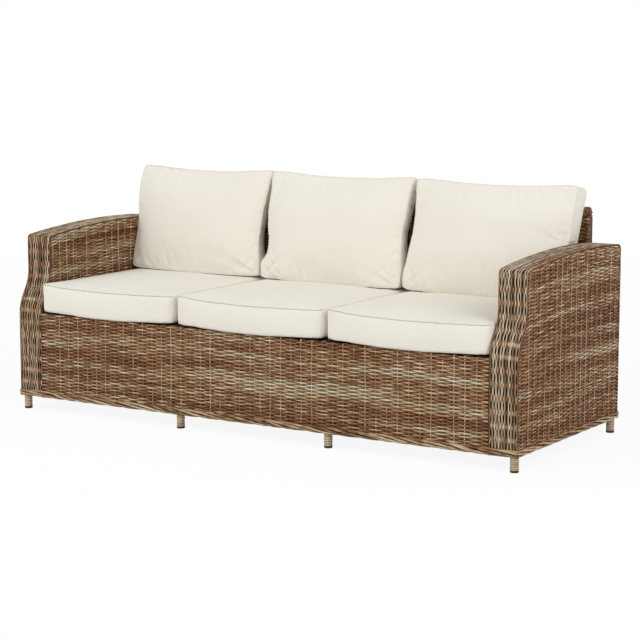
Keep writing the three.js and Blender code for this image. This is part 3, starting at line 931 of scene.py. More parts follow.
@dataclass
class Arm:
    """One box arm: woven outer and inner sides, the openwork band round it and the strands on its edges."""

    side: Side
    outline: ArmOutline = field(default_factory=ArmOutline)
    bays: int = 20
    side_inset: float = 0.0045
    edge_strand: float = 0.0044
    inner_bottom: float = 0.350
    edge_inset: float = 0.0022
    lining_inset: float = 0.0078
    lining_end: float = 0.008
    lining_raised: float = 0.002  # over the lower edge
    strip_inset: float = 0.0054
    strip_width: float = 0.0074
    strip_aside: float = 0.0008  # how far the inner strip lies in from the arm's inner face
    band_margin: float = 0.005  # how much narrower than the arm the openwork is, for the strands on the edges

    def build(self) -> None:
        """Makes the arm's pieces and hands them over."""
        word = self.side.word
        seed = 3 if self.side is Side.LEFT else 11
        faces = (("outer", sizes.half_width, 1, sizes.rim_top), ("inner", sizes.arm_inside, -1, self.inner_bottom))
        for i, (name, face, outwards, bottom) in enumerate(faces):
            weave = self.woven_side(f"arm_{name}_weave_{word}", face, outwards, bottom, seed + 4 * i)
            hand_over(weave, WEAVE, (f"arm_{name}_skin_{word}",))
        round_arm = self.round_arm(sizes.half_width - sizes.arm_width / 2, -sizes.half_skin)
        band = Openwork(self.outline.length, sizes.arm_width - self.band_margin, seed=seed + 40)
        band = band.build(f"arm_band_weave_{word}", round_arm)
        hand_over(band, BAND, (f"arm_band_{word}",))
        self.lining(word)
        for name, face, outwards, _ in faces:
            edge = self.edge(f"arm_edge_{name}_{word}", face - outwards * self.edge_inset, seed)
            hand_over(edge, WEAVE)

    def round_arm(self, aside: float, proud: float) -> Placing:
        """Tells how flat work is bent round the arm's outline.

        Args:
            aside: how far its middle line lies from the sofa's middle.
            proud: how far out of the outline its zero lies.

        Returns:
            What turns its places into points of the sofa.
        """
        def bent(along: Array, out: Array | float, across: Array) -> Array:
            """Bends places along, out of and across the work."""
            y, z = self.outline.at(along, out + proud).T
            return rows_of(self.side.value * (aside + across), y, z)

        return bent

    def lining(self, word: str) -> None:
        """Lines the arm from inside, so that no light comes through the weave; its near-black colour is painted shade
        for the inside of the arm, where the gaps in the weave show it.

        Args:
            word: the side's name in the names of pieces.
        """
        inset = self.lining_inset
        inner, outer = sizes.arm_inside + inset, sizes.half_width - inset
        name = f"arm_lining_{word}"
        sheets = []
        for start, width, depth in (
            (inner, outer - inner, inset),
            (sizes.arm_inside + self.strip_aside, self.strip_width, self.strip_inset),
            (outer - sizes.lining, self.strip_width, self.strip_inset),
        ):
            bent = self.round_arm(start, -depth)

            def band(along: Array, across: Array) -> Array:
                """Places shares along and across one band of the lining."""
                reach = self.outline.length - 2 * self.lining_end
                return bent(self.lining_end + along * reach, 0.0, width * across)

            sheets.append(sheet_of(name, 160, 1, band))
        for distance, bottom in ((outer, sizes.floor_gap + self.lining_raised), (inner, self.inner_bottom)):

            def flat(along: Array, across: Array) -> Array:
                """Places shares along and across one side of the lining."""
                y = inset - sizes.half_depth + 2 * (sizes.half_depth - inset) * along
                z = bottom + (self.outline.level_with(0, y, inset) - bottom) * across
                return rows_of(self.side.value * distance, np.maximum(y, self.outline.level_with(1, z, inset)), z)

            sheets.append(sheet_of(name, 60, 40, flat))
        hand_over(joined(name, *sheets), SHADE_LINING)

    def woven_side(self, name: str, face: float, outwards: int, bottom: float, seed: int) -> Piece:
        """Makes a woven side that fills the outline.

        Args:
            name: the piece's name.
            face: how far the side's face stands from the sofa's middle.
            outwards: 1 for a face turned away from the seat, -1 towards it.
            bottom: where its lowest row lies.
            seed: which handwork.

        Returns:
            The woven side.
        """
        half, inset = sizes.half_depth, self.side_inset
        height = self.outline.peak - inset - bottom

        def place(along: Array, out: Array, across: Array) -> Array:
            """Stretches flat work to the outline and places it."""
            y = np.clip(along - half, inset - half, half - inset)
            z = bottom + across / height * (self.outline.level_with(0, y, inset) - bottom)
            y = np.maximum(y, self.outline.level_with(1, z, inset))
            return rows_of(self.side.value * (face + outwards * (out - sizes.half_skin)), y, z)

        # the outer faces are painted a little darker and the inner faces a little paler: painted shade and painted
        # light for how the light falls on each
        return PlainWeave(2 * half, height, self.bays, paler=-0.012 * outwards, seed=seed).build(name, place)

    def edge(self, name: str, distance: float, seed: int) -> Piece:
        """Makes the strand that runs round the arm on one of its edges."""
        steps = 190
        width = self.edge_strand
        strand, along, out, number, across = straight_strands(
            name, self.outline.length / steps, steps, width, width * 0.8
        )
        drift = wander(along, number, seed + 8, 0.3, 1.0) * 0.0006
        # paler -0.15 paints the edge strand darker: painted shade against the light it catches along the top
        mark_strands(strand, along, number + seed * 5, across, 0.3, -0.15)
        bent = self.round_arm(distance, -self.edge_inset)
        move_points(strand, bent(along, out + drift, across * width / 2))
        return tidy_shell(strand)


@dataclass
class Apron:
    """The woven front under the seat."""

    bays: int = 44
    lining_back: float = 0.0068
    lining_aside: float = 0.013  # how far the lining reaches behind the arms
    lining_raised: float = 0.002
    lining_below: float = 0.008  # how far it ends under the deck's top

    def build(self) -> None:
        """Makes the apron and its lining and hands them over."""
        inside, front = sizes.panel_inside, -sizes.half_depth
        place = laid((-inside, front + sizes.half_skin, sizes.rim_top), X, -Y, Z)
        weave = PlainWeave(2 * inside, sizes.deck_top - 0.001 - sizes.rim_top, self.bays, seed=21)
        hand_over(weave.build("front_apron_weave", place), WEAVE, ("front_apron",))

        def behind(along: Array, across: Array) -> Array:
            """Places shares along and across the lining."""
            bottom, top = sizes.floor_gap + self.lining_raised, sizes.deck_top - self.lining_below
            z = bottom + (top - bottom) * across
            return rows_of((2 * along - 1) * (inside + self.lining_aside), front + self.lining_back, z)

        # the near-black lining is painted shade behind the apron's weave
        hand_over(sheet_of("apron_lining", 2, 2, behind), SHADE_LINING)


@dataclass
class Backrest:
    """The low back: two woven faces, the wound roll along the top and the closed ends."""

    bays: int = 44
    ring_pitch: float = 0.0062
    lining_back: float = 0.0068
    end_bottom: float = 0.60  # where the ends begin to show over the arms
    end_set_in: float = 0.0075
    narrowing: float = 0.007  # how far the outer face is drawn in there, from what height on and how fast
    narrows_from: float = 0.63
    narrows_over: float = 0.03
    roll_overhang: float = 0.003
    behind_roll: float = 0.004  # how far the faces go up behind the roll
    end_rise: float = 0.006  # how much higher the ends go
    lining_below: float = 0.01  # how far the lining goes down behind the rim
    lining_under_roll: float = 0.006
    lining_aside: float = 0.006  # how far it reaches behind the arms

    def build(self) -> None:
        """Makes the back's pieces and hands them over."""
        inside = sizes.panel_inside
        top = sizes.roll_z - sizes.roll_radius + self.behind_roll
        bottom = sizes.rim_top

        def rear(along: Array, out: Array, across: Array) -> Array:
            """Places the outer face, drawn in a little beside the ends."""
            limit = inside - self.narrowing * np.clip((bottom + across - self.narrows_from) / self.narrows_over, 0, 1)
            x = np.clip(inside - along, -limit, limit)
            return rows_of(x, sizes.back_outside - sizes.half_skin + out, bottom + across)

        front = laid((-inside, sizes.back_inside + sizes.half_skin, sizes.deck_top + 0.001), X, -Y, Z)
        for name, height, seed, place in (
            ("outer", top - bottom, 31, rear), ("inner", top - sizes.deck_top - 0.001, 36, front)
        ):
            weave = PlainWeave(2 * inside, height, self.bays, seed=seed).build(f"back_{name}_weave", place)
            hand_over(weave, WEAVE, (f"back_{name}_skin",))

        def between(along: Array, across: Array) -> Array:
            """Places shares along and across the lining."""
            z = bottom - self.lining_below + (sizes.roll_z - self.lining_under_roll - bottom) * across
            reach = inside + self.lining_aside * (z < self.end_bottom)
            return rows_of((2 * along - 1) * reach, sizes.back_outside - self.lining_back, z)

        # the near-black lining is painted shade between the back's two woven faces
        hand_over(sheet_of("back_lining", 2, 40, between), SHADE_LINING)
        length = 2 * inside + 2 * self.roll_overhang
        rings = round(length / self.ring_pitch)
        pitch = length / rings
        start = (-inside - self.roll_overhang + pitch / 2, sizes.roll_y, sizes.roll_z)
        roll = RoundedCoil(sizes.roll_radius, pitch * 1.04, rings, pitch, seed=5)
        roll = roll.build("back_roll_wrap", laid(start, Y, Z, X))
        hand_over(roll, RIM, ("back_top_roll",))
        for side in Side:
            # strands turned round the corner stake, seen over the arm
            start = (side.value * (sizes.arm_inside - self.end_set_in), sizes.back_inside, self.end_bottom)
            depth, height = sizes.back_outside - sizes.back_inside, top + self.end_rise - self.end_bottom
            weave = PlainWeave(depth, height, 2, seed=60 + side.value)
            piece = weave.build(f"back_end_{side.word}", laid(start, Y, side.value * X, Z))
            hand_over(piece, WEAVE)


@dataclass
class SeatDeck:
    """The flat woven platform that the cushions lie on."""

    bays: int = 44
    sunk: float = 0.0038

    def build(self) -> None:
        """Makes the deck and hands it over."""
        inside = sizes.panel_inside
        front, rear = -sizes.half_depth + 0.008, sizes.back_inside + 0.003
        place = laid((-inside, front, sizes.deck_top - self.sunk), X, Z, Y)
        weave = PlainWeave(
            2 * inside, rear - front, self.bays, 0.018, 0.0172, 0.0018, 0.017, 0.0016, unevenness=0.0015, seed=52
        )
        hand_over(weave.build("seat_deck_weave", place), DECK, ("seat_deck",))


@dataclass
class BottomRim:
    """The twisted strands along the lower edge on all four sides."""

    middle: float = 0.0136  # how far the twist's middle lies over the lower edge
    rear_inset: float = 0.002

    def build(self) -> None:
        """Makes the four twists and hands them over."""
        width, depth, height = sizes.half_width, sizes.half_depth, sizes.floor_gap + self.middle
        twists = [
            ("rim_front", 2 * width, 27, laid((-width, -depth, height), X, -Y, Z)),
            ("rim_rear", 2 * width, 24, laid((-width, depth - self.rear_inset, height), X, Y, Z)),
        ]
        for side in Side:
            place = laid((side.value * width, -depth, height), Y, side.value * X, Z)
            twists.append((f"rim_{side.word}", 2 * depth, 80 + side.value, place))
        for name, length, seed, place in twists:
            hand_over(Twist(length, seed=seed).build(name, place), RIM)


@dataclass
class WrappedLegs:
    """The strand wound round each short leg under the rim, and the rubber cap under it."""

    ring_pitch: float = 0.0056
    radius: float = 0.0146
    cap_height: float = 0.0062
    cap_inset: float = 0.0006
    hidden: float = 0.012  # how far the winding goes up behind the rim
    cap_tuck: float = 0.003  # how far the cap reaches up into the winding
    cap_rounding: float = 0.0016

    def build(self) -> None:
        """Winds and caps each leg and hands both over."""
        rings = int((sizes.floor_gap + self.hidden - self.cap_height) / self.ring_pitch)
        for node in sorted(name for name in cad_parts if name.startswith("foot_cap_")):
            x, y = ((low + high) / 2 for low, high in list(zip(*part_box(node)))[:2])
            word = node.removeprefix("foot_cap_")
            # lift 0.9 and paler 0.14 paint the leg windings lighter: painted light for legs that stand in the sofa's
            # shade
            coil = Coil(self.radius, self.ring_pitch * 1.05, rings, self.ring_pitch, 16, 0.9, 0.14, seed=len(word))
            start = (x, y, self.cap_height + self.ring_pitch / 2)
            piece = coil.build(f"leg_wrap_{word}", laid(start, X, Y, Z))
            hand_over(piece, RIM)
            hand_over(self.cap(f"leg_cap_{word}", x, y), RUBBER, (node,))

    def cap(self, name: str, x: float, y: float) -> Piece:
        """Makes one rubber cap."""
        height, radius = self.cap_height + self.cap_tuck, self.radius - self.cap_inset
        piece = added(name, bpy.ops.mesh.primitive_cylinder_add, vertices=32, radius=radius, depth=height)
        round_edges(piece, self.cap_rounding)
        move_points(piece, points_of(piece) + [x, y, height / 2])
        select_only(piece)
        bpy.ops.object.shade_smooth_by_angle(angle=math.radians(40))
        return piece


@dataclass
class HiddenFrame:
    """The tubes, caps and zips that keep their CAD shapes and get their real finishes."""

    def build(self) -> None:
        """Dresses every CAD node that still shows."""
        for name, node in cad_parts.items():
            if node.hide_render:
                continue
            finish = RUBBER if name.startswith("foot_cap") else NYLON if name.endswith("_zip") else TUBE
            for material_slot in node.material_slots:
                material_slot.material = finish.material()
            log.info("%s: %s", name, finish.name)


# Cushions


@dataclass
class Cushion:
    """A boxed cushion: a cover sewn from panels, stuffed, with a welt at the seams."""

    name: str
    width: float
    middle: Spot
    turn: float = 0.0
    voxel: float = 0.008
    cuts: int = 13
    rounding: float = 0.010
    swell_limit: float = 0.010
    pressure: float = 4.0
    frames: int = 20
    welt_radius: float = 0.0020
    slack: float = 0.0
    hold: float = 0.009  # how near a seam the cover is held
    corner_power: float = 26.0
    # the seat cushions' welts get the darker seam finish, painted shade along the seams
    seam: Finish = SHADED_SEAM

    def shape(self, u: Array, v: Array, w: Array) -> Array:
        """Turns places on a cube of -1 to 1 into points of the cushion in its own frame."""
        raise NotImplementedError

    def seam_lines(self) -> list[Array]:
        """Closed runs of cube places along which the panels are sewn."""
        raise NotImplementedError

    def keep_clear(self, points: Array) -> Array:
        """Holds points of the sofa out of what lies next to the cushion."""
        raise NotImplementedError

    def settle(self, points: Array) -> Array:
        """Turns the cushion's own frame into the sofa's."""
        angle = math.radians(self.turn)
        x = points[:, 0] * math.cos(angle) - points[:, 1] * math.sin(angle)
        y = points[:, 0] * math.sin(angle) + points[:, 1] * math.cos(angle)
        return np.stack([x, y, points[:, 2]], 1) + np.array(self.middle)

    def build(self) -> Piece:
        """Sews, stuffs and places the cushion.

        Returns:
            The stuffed cover. Its welts are pieces of their own.
        """
        piece = added(self.name, bpy.ops.mesh.primitive_cube_add, size=2, location=(0, 0, 0))
        with editing(piece):
            bpy.ops.mesh.subdivide(number_cuts=self.cuts)
        x, y, z = points_of(piece).T
        move_points(piece, self.shape(x, z, -y))
        round_edges(piece, self.rounding)
        finish_modifier(piece, "REMESH", mode="VOXEL", voxel_size=self.voxel)
        finish_modifier(piece, "SMOOTH", factor=0.5, iterations=6)
        runs = [self.settle(self.shape(*line.T)) for line in self.seam_lines()]
        move_points(piece, self.settle(points_of(piece)))
        self.stuff(piece, runs)
        move_points(piece, self.keep_clear(self.crease(points_of(piece))))
        finish_modifier(piece, "SUBSURF", levels=1, render_levels=1)
        select_only(piece)
        bpy.ops.object.shade_smooth()
        for i, run in enumerate(runs):
            self.welt(piece, run, i)
        return piece

    def crease(self, points: Array) -> Array:
        """Adds the folds that use has left."""
        return points

    def stuff(self, piece: Piece, runs: list[Array]) -> None:
        """Blows the cover up as cloth, held at the seams.

        Args:
            piece: the cover.
            runs: the seams as points of the sofa.
        """
        before = points_of(piece)
        stitches = np.concatenate(runs)
        tree = KDTree(len(stitches))
        for i, spot in enumerate(stitches):
            tree.insert(spot, i)
        tree.balance()
        held = piece.vertex_groups.new(name="seams")
        near = [i for i, spot in enumerate(before) if tree.find(spot)[2] < self.hold]
        held.add(near, 1.0, "REPLACE")
        cloth = piece.modifiers.new("Stuffing", "CLOTH")
        for key, value in {
            "quality": 5, "mass": 0.3, "tension_stiffness": 12, "compression_stiffness": 12, "shear_stiffness": 4,
            "bending_stiffness": 0.4, "use_pressure": True, "uniform_pressure_force": self.pressure,
            "vertex_group_mass": held.name, "shrink_min": -self.slack,
        }.items():
            setattr(cloth.settings, key, value)
        cloth.settings.effector_weights.gravity = 0
        cloth.point_cache.frame_start = 1
        cloth.point_cache.frame_end = self.frames
        scene = bpy.context.scene
        for number in range(1, self.frames + 1):
            scene.frame_set(number)
        select_only(piece)
        bpy.ops.object.modifier_apply(modifier=cloth.name)
        scene.frame_set(1)
        piece.vertex_groups.clear()
        moved = points_of(piece) - before
        length = np.linalg.norm(moved, axis=1)
        log.info(
            "%s: %d of %d points held, swells %.1f mm at most and %.1f mm on average, capped at %.1f", self.name,
            len(near), len(before), length.max() * 1000, length.mean() * 1000, self.swell_limit * 1000,
        )
        share = self.swell_limit * np.tanh(length / self.swell_limit) / np.maximum(length, 1e-9)
        move_points(piece, before + moved * share[:, None])

    def welt(self, cover: Piece, run: Array, number: int) -> None:
        """Lays a thin welt along a seam, half sunk into the cover.

        Args:
            cover: the stuffed cover.
            run: the seam as points of the sofa.
            number: which seam it is.
        """
        tree = BVHTree.FromObject(cover, bpy.context.evaluated_depsgraph_get())
        curve = bpy.data.curves.new(f"{self.name}_welt_{number}", "CURVE")
        curve.dimensions = "3D"
        curve.bevel_depth = self.welt_radius
        curve.bevel_resolution = 1
        spline = curve.splines.new("POLY")
        spline.points.add(len(run) - 1)
        for point, spot in zip(spline.points, run):
            found, outward, _, _ = tree.find_nearest(Vector(spot))
            point.co = (*(found + outward * self.welt_radius * self.welt_stands(spot)), 1)
        spline.use_cyclic_u = True
        piece = bpy.data.objects.new(curve.name, curve)
        bpy.context.scene.collection.objects.link(piece)
        select_only(piece)
        bpy.ops.object.convert(target="MESH")
        hand_over(tidy_shell(bpy.context.active_object), self.seam, body=self.name)

    def welt_stands(self, spot: Array) -> float:
        """How far a welt's middle stands out of the cover at a point of the sofa, in radii."""
        return 0.2

    def squared(self, u: Array, w: Array) -> tuple[Array, Array]:
        """Draws the corners of a square of u and w in, the less the higher the corner power."""
        corner = np.maximum(np.abs(u) ** self.corner_power + np.abs(w) ** self.corner_power, 1.0)
        shrink = corner ** (-1 / self.corner_power)
        return u * shrink, w * shrink

    @staticmethod
    def square(level: float, steps: int) -> Array:
        """A closed run round a cube at one level of v, with this many points on each of its four sides."""
        t = np.linspace(-1, 1, steps, endpoint=False)
        one = np.ones_like(t)
        return rows_of(np.concatenate([t, one, -t, -one]), level, np.concatenate([-one, t, one, -t]))


def pressed_seat(y: Array | float) -> Array | float:
    """Height of the seat cushions' tops where the pillows press on them."""
    away = np.clip((y + 0.024) / sizes.pressed_reach, -1, 1)
    return sizes.deck_top + sizes.pressed_height + sizes.pressed_crown * (1 - np.abs(away) ** 4)


@dataclass
class SeatCushion(Cushion):
    """A boxed seat cushion: u along the sofa, v upwards, w from the rear to the front."""

    seam_height: float = 0.104
    crown: float = 0.009
    draw_in: float = 0.003
    side_bulge: float = 0.003
    rim_lift: float = 0.005
    bay: float = 0.29933  # half the width of its place on the deck
    forward: float = 0.0  # how far the left front corner comes forward
    bow: float = 0.016  # how far the middle of the front hangs over the apron
    droop: tuple[float, ...] = (-0.007, 0.000, 0.005, 0.007, 0.008, 0.007, 0.005, 0.002, -0.001)  # left to right
    spread: tuple[float, float] = (0.0, 0.0)  # how far the front corners swell in front of the arms
    pressed: float = 0.226  # how far in front of the backrest the pillows still press on it

    def shape(self, u: Array, v: Array, w: Array) -> Array:
        """Turns places on a cube of -1 to 1 into points of the cushion in its own frame."""
        depth = sizes.seat_rear - sizes.seat_front
        u, w = self.squared(u, w)
        swell = self.side_bulge * (1 - v**2)
        half_x = self.width / 2 - 0.0005 - self.draw_in * (1 - w**2) + swell * (1 - w**2)
        half_y = depth / 2 - 0.002 - self.draw_in * (1 - u**2) + swell * (1 - u**2)
        crown = self.crown * (1 - np.abs(u) ** 4) * (1 - np.abs(w) ** 4) * (1 + 0.6 * np.clip(w * 1.6, -1, 0))
        rim = self.rim_lift * np.maximum(np.abs(u), np.abs(w)) ** 6
        ahead, level = np.clip(w, 0, 1), (v + 1) / 2
        height = rim + (self.seam_height + crown - rim) * (v + 1) / 2
        over = self.forward * np.clip(-u, 0, 1) ** 2 * ahead**4 + self.bow * (1 - np.abs(u) ** 3) * ahead**6
        sunk = np.interp(u, np.linspace(-1, 1, len(self.droop)), self.droop)
        height -= sunk * level * ahead**8 + np.maximum(sunk, 0) * (1 - level) * ahead**40
        aside = self.spread[1] * np.clip(u, 0, 1) ** 10 - self.spread[0] * np.clip(-u, 0, 1) ** 10
        return rows_of(u * half_x + aside * ahead**20 * (0.4 + 0.6 * level), -w * half_y - over, height)

    def seam_lines(self) -> list[Array]:
        """The seams round the top and the bottom panel."""
        return [self.square(1, 60), self.square(-1, 60)]

    def welt_stands(self, spot: Array) -> float:
        """The welt is pressed into the cover at the sides, where the cushions touch, but not at the front."""
        behind = spot[1] > sizes.seat_front + 0.014
        return -0.9 if behind and abs(spot[0] - self.middle[0]) > self.width / 2 - 0.006 else 0.2

    def keep_clear(self, points: Array) -> Array:
        """Holds the cushion off the deck and its neighbours, where it lies flat."""
        x, y, z = points.T
        ahead = np.clip((sizes.seat_front + 0.012 - y) / 0.012, 0, 1)
        left, right = (self.middle[0] + sign * (self.bay - 0.0004) for sign in (-1, 1))
        x = np.clip(x, left - self.spread[0] * ahead, right + self.spread[1] * ahead)
        over = y < -sizes.half_depth - 0.0046
        z = np.maximum(z, sizes.deck_top + np.where(over, -0.012, 0.0006))
        free = np.clip((sizes.back_inside - self.pressed - y) / 0.06, 0, 1)
        return rows_of(x, y, np.minimum(z, pressed_seat(y) + 0.03 * free))


@dataclass
class BackPillow(Cushion):
    """A boxed pillow that leans back: u along the sofa, v from its front to its back, w upwards."""

    height: float = 0.390
    edge: float = 0.080
    front_belly: float = 0.038
    back_belly: float = 0.034
    left_side: tuple[float, ...] = ()  # how far the front seam stands out, from the foot to the top
    right_side: tuple[float, ...] = ()
    rear_draw: float = 0.0  # how far the rear seam is drawn in on the right
    lap: float = 0.0  # how far the left side comes forward over the next pillow
    perk: float = 0.0  # how far the right end of the top stays up behind
    foot_out: float = 0.010  # how far the front bellies forward at the foot
    pinches: tuple[Spot, ...] = ()  # places u, w on the front and how deep
    seam: Finish = PIPING
    top_sag: float = 0.017
    rim_lift: float = 0.004
    lean: float = 14.0
    clear_left: float = -0.898
    clear_right: float = 0.898
    arm_top: float = 0.662

    def shape(self, u: Array, v: Array, w: Array) -> Array:
        """Turns places on a cube of -1 to 1 into points of the cushion in its own frame."""
        crown = (1 - np.abs(u) ** 2.4) * (1 - np.abs(w) ** 2.4)
        half = self.edge / 2 + np.where(v < 0, self.front_belly, self.back_belly) * crown
        u, w = self.squared(u, w)
        steps = np.linspace(-1, 1, len(self.left_side))
        left, right = (np.interp(w, steps, side) for side in (self.left_side, self.right_side))
        half_x = self.width / 2 + np.where(u < 0, left, right)
        half_x -= np.where(u < 0, 0.0, self.rear_draw) * (1 - w**4) * (v + 1) / 2
        top = self.height - self.top_sag * (1 - u**2)
        bottom = self.rim_lift * np.abs(u) ** 6
        rise = (w + 1) / 2
        height = bottom + (top - bottom) * rise
        slope = math.tan(math.radians(self.lean))
        drop = (v * half + self.edge / 2) * slope * rise * (1 - self.perk * np.clip(u, 0, 1) ** 8)
        forward = self.lap * np.clip(-u, 0, 1) ** 8 * rise + self.foot_out * (1 - rise) ** 3 * (1 - v) / 2
        return rows_of(u * half_x, height * slope + v * half - forward, height - drop)

    def crease(self, points: Array) -> Array:
        """Adds the puckers along the seams and the folds that run into the pinched corners."""
        x, y, z = points.copy().T
        height = z - self.middle[2]
        middle_y = self.middle[1] + height * math.tan(math.radians(self.lean))
        across, up = x - self.middle[0], height - self.height / 2
        front = np.clip((middle_y - y) / (self.edge / 2), -1, 1)
        edge = np.minimum(self.width / 2 - np.abs(across), self.height / 2 - np.abs(up))
        near = np.exp(-np.clip(edge - 0.004, 0, None) / 0.022) * np.clip(edge / 0.006, 0, 1)
        y -= front * near * 0.0017 * wander(across, up, len(self.name) * 7, 0.06, 0.06)
        y -= front * 0.0016 * wander(across, up, len(self.name) * 11 + 1, 0.30, 0.24)
        for u, w, depth in self.pinches:
            off_x, off_z = across - u * self.width / 2, up - w * self.height / 2
            far = np.hypot(off_x, off_z)
            angle = np.arctan2(off_z, off_x)
            folds = np.cos(angle * 9 + u * 3) * 0.6 + np.cos(angle * 15 + w) * 0.4
            y -= np.maximum(front, 0) * depth * folds * (far / 0.04 * np.exp(1 - far / 0.04))
            y += np.maximum(front, 0) * depth * 1.2 * np.exp(-((far / 0.045) ** 2))
        return rows_of(x, y, z)

    def seam_lines(self) -> list[Array]:
        """The seams round the front and the back panel."""
        return [self.square(-1, 50), self.square(1, 50)]

    def keep_clear(self, points: Array) -> Array:
        """Holds the pillow off the seat, the arms, the next pillow and the roll that it leans on."""
        x, y, z = points.T
        over = 0.03 * (z > self.arm_top)
        left = self.clear_left - over * (self.clear_left < -0.89)
        right = self.clear_right + over * (self.clear_right > 0.89)
        z = np.maximum(z, pressed_seat(y) + 0.001)
        radius = sizes.roll_radius + 0.002
        rise = np.clip(np.abs(z - sizes.roll_z) / radius, 0, 1)
        roll = sizes.roll_y - radius * np.sqrt(1 - rise**2)
        limit = np.where(z < sizes.roll_z, np.minimum(roll, sizes.back_inside - 0.004), roll)
        limit = np.where(z > sizes.roll_z + sizes.roll_radius, 9.0, limit)
        return rows_of(np.clip(x, left + 0.0006, right - 0.0006), np.minimum(y, limit), z)


@dataclass
class CushionSet:
    """The three seat cushions and the three pillows behind them, from left to right."""

    row_gap: float = 0.010
    arm_gap: float = 0.004
    arm_clear: float = 0.0015
    seat_lift: float = 0.0006
    seat_gap: float = 0.002
    pillow_lift: float = 0.0003
    pillow_trim: float = 0.003  # how much narrower than its share of the row a pillow is sewn
    weight_ahead: float = 0.040  # how far in front of a pillow's foot its weight rests on the seat
    joint_shifts: tuple[float, float] = (-0.019, -0.013)  # where two seats meet, off a third of the row
    corner_forward: tuple[float, ...] = (0.014, 0.0, 0.0)
    spreads: tuple[tuple[float, float], ...] = ((0.008, 0.0), (0.0, 0.0), (0.0, 0.011))
    shares: tuple[float, ...] = (0.3275, 0.3295, 0.343)
    forward: tuple[float, ...] = (0.146, 0.165, 0.172)
    leans: tuple[float, ...] = (14.0, 16.5, 16.5)
    turns: tuple[float, ...] = (0.4, 0.0, -0.8)
    left_sides: tuple[tuple[float, ...], ...] = (
        (0.007, 0.006, 0.006, 0.006, 0.008, 0.018, 0.024, 0.021, 0.013),
        (0.006, 0.006, -0.018, -0.010, 0.001, 0.008, 0.010, 0.012, 0.015),
        (0.008, 0.002, -0.002, -0.006, -0.008, -0.012, -0.006, 0.002, 0.010),
    )
    right_sides: tuple[tuple[float, ...], ...] = (
        (0.001, -0.006, -0.019, -0.026, -0.024, -0.022, -0.016, -0.009, 0.003),
        (0.008, 0.004, -0.004, -0.013, -0.018, -0.014, -0.012, -0.009, 0.004),
        (0.004, 0.005, 0.005, 0.006, 0.008, 0.010, 0.012, 0.012, 0.012),
    )
    rear_draws: tuple[float, ...] = (0.034, 0.024, 0.009)
    laps: tuple[float, ...] = (0.0, 0.010, 0.008)
    perks: tuple[float, ...] = (0.0, 0.0, 0.45)
    corner_powers: tuple[float, ...] = (40.0, 50.0, 22.0)
    pinches: tuple[tuple[Spot, ...], ...] = (
        ((0.97, -0.94, 0.005), (-0.97, -0.94, 0.002)),
        ((-0.97, -0.94, 0.006), (0.97, -0.94, 0.003)),
        ((-0.97, -0.94, 0.003), (0.99, -0.02, 0.0015)),
    )

    def build(self) -> None:
        """Makes all six and hands them over."""
        words = ("left", "middle", "right")
        third = sizes.arm_inside / 3
        joints = (self.joint_shifts[0] - third, third + self.joint_shifts[1])
        ends = (-sizes.arm_inside, *joints, sizes.arm_inside)
        seat_middle = (sizes.seat_front + sizes.seat_rear) / 2
        for i, word in enumerate(words):
            half = (ends[i + 1] - ends[i]) / 2
            place = (ends[i] + half, seat_middle, sizes.deck_top + self.seat_lift)
            seat = SeatCushion(
                f"seat_cushion_{word}", 2 * half - self.seat_gap, place, bay=half, forward=self.corner_forward[i],
                spread=self.spreads[i],
            )
            self.finish(seat, f"seat_{word}")
        row = 2 * (sizes.arm_inside - self.arm_gap) - 2 * self.row_gap
        left = self.arm_gap - sizes.arm_inside
        for i, word in enumerate(words):
            width = self.shares[i] * row
            foot = sizes.back_inside - self.forward[i]
            away = (foot - self.weight_ahead - seat_middle) / sizes.pressed_reach
            seat_top = sizes.deck_top + sizes.pressed_height + sizes.pressed_crown * (1 - abs(away) ** 4)
            pillow = BackPillow(
                f"back_pillow_{word}", width - self.pillow_trim, (left + width / 2, foot, seat_top + self.pillow_lift),
                self.turns[i], voxel=0.007, lean=self.leans[i], swell_limit=0.014, slack=0.015,
                left_side=self.left_sides[i], right_side=self.right_sides[i], rear_draw=self.rear_draws[i],
                lap=self.laps[i], perk=self.perks[i], corner_power=self.corner_powers[i], pinches=self.pinches[i],
                clear_left=max(left - self.row_gap, self.arm_clear - sizes.arm_inside),
                clear_right=min(left + width, sizes.arm_inside - self.arm_clear),
            )
            self.finish(pillow, f"back_{word}")
            left += width + self.row_gap

    @staticmethod
    def finish(cushion: Cushion, node: str) -> None:
        """Builds a cushion and hands its cover over in place of the CAD cover and core."""
        cover = cushion.build()
        hand_over(cover, CANVAS, (f"{node}_cover", f"{node}_core"), cushion.name)


# Studio


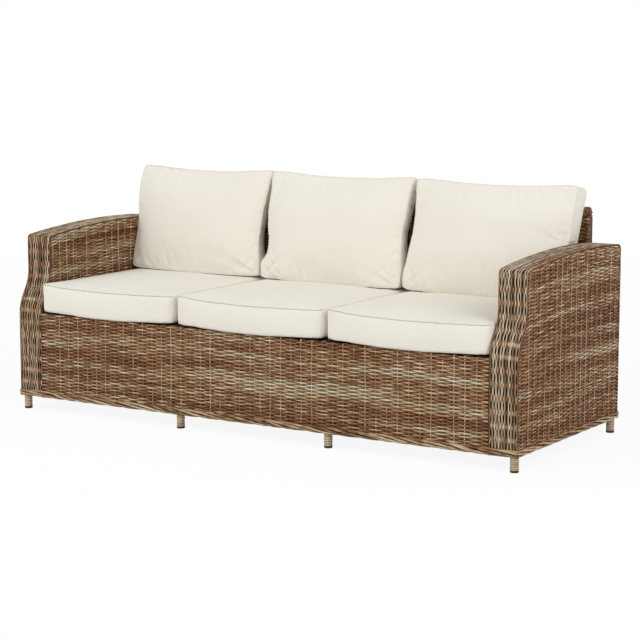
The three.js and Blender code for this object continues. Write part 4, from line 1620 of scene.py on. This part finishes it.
@dataclass
class Studio:
    """Camera, soft lamps and white ground."""

    camera_place: Spot = (3.698365, -5.800641, 1.389827)
    azimuth: float = 32.24
    pitch: float = 8.56
    lens: float = 112.06
    air_light: float = 0.62

    def build(self) -> None:
        """Sets up the whole studio."""
        self.camera()
        ground = added("studio_ground", bpy.ops.mesh.primitive_plane_add, size=400, location=(0, 0, 0))
        ground.data.materials.append(GROUND.material())
        self.world()
        self.lamp("key_lamp", (-2.2, -4.4, 4.4), 3.2, 131)
        self.lamp("fill_lamp", (4.8, -1.6, 2.8), 3.4, 82)
        bpy.context.scene.view_settings.view_transform = "Standard"

    def camera(self) -> None:
        """Adds the camera where the photographer stood."""
        turn = (math.radians(90 - self.pitch), 0, math.radians(self.azimuth))
        camera = added(
            "photographers_camera", bpy.ops.object.camera_add, location=self.camera_place, rotation=turn
        )
        camera.data.lens = self.lens
        camera.data.sensor_width = 36
        camera.data.clip_end = 500
        bpy.context.scene.camera = camera

    def lamp(self, name: str, place: Spot, size: float, power: float) -> None:
        """Adds a soft square lamp turned to the sofa.

        Args:
            name: the lamp's name.
            place: where it hangs.
            size: its side.
            power: its power in watts.
        """
        turn = (Vector((0, 0, 0.4)) - Vector(place)).to_track_quat("-Z", "Y").to_euler()
        lamp = added(name, bpy.ops.object.light_add, type="AREA", location=place, rotation=turn)
        lamp.data.shape = "SQUARE"
        lamp.data.size = size
        lamp.data.energy = power

    def world(self) -> None:
        """Lights the room evenly and shows it plain white."""
        world = bpy.data.worlds.new("studio_air")
        bpy.context.scene.world = world
        world.use_nodes = True
        tree = world.node_tree
        tree.nodes.clear()
        light, white = (
            add_node(tree, "Background", {"Color": (1.0, 1.0, 1.0, 1.0), "Strength": strength})[0]
            for strength in (self.air_light, 1.0)
        )
        add_node(tree, "OutputWorld", (add_node(tree, "MixShader", (shows_plainly(tree), light, white))[0],))


def main() -> None:
    """Builds the sofa's sub-assemblies in order."""
    logging.basicConfig(level=logging.INFO, format="%(message)s")
    parts = [
        Studio(), Apron(), Arm(Side.LEFT), Arm(Side.RIGHT), Backrest(), SeatDeck(), BottomRim(), WrappedLegs(),
        CushionSet(), HiddenFrame(),
    ]
    for part in parts:
        log.info("building %s", type(part).__name__)
        part.build()


if __name__ == "__main__":
    main()
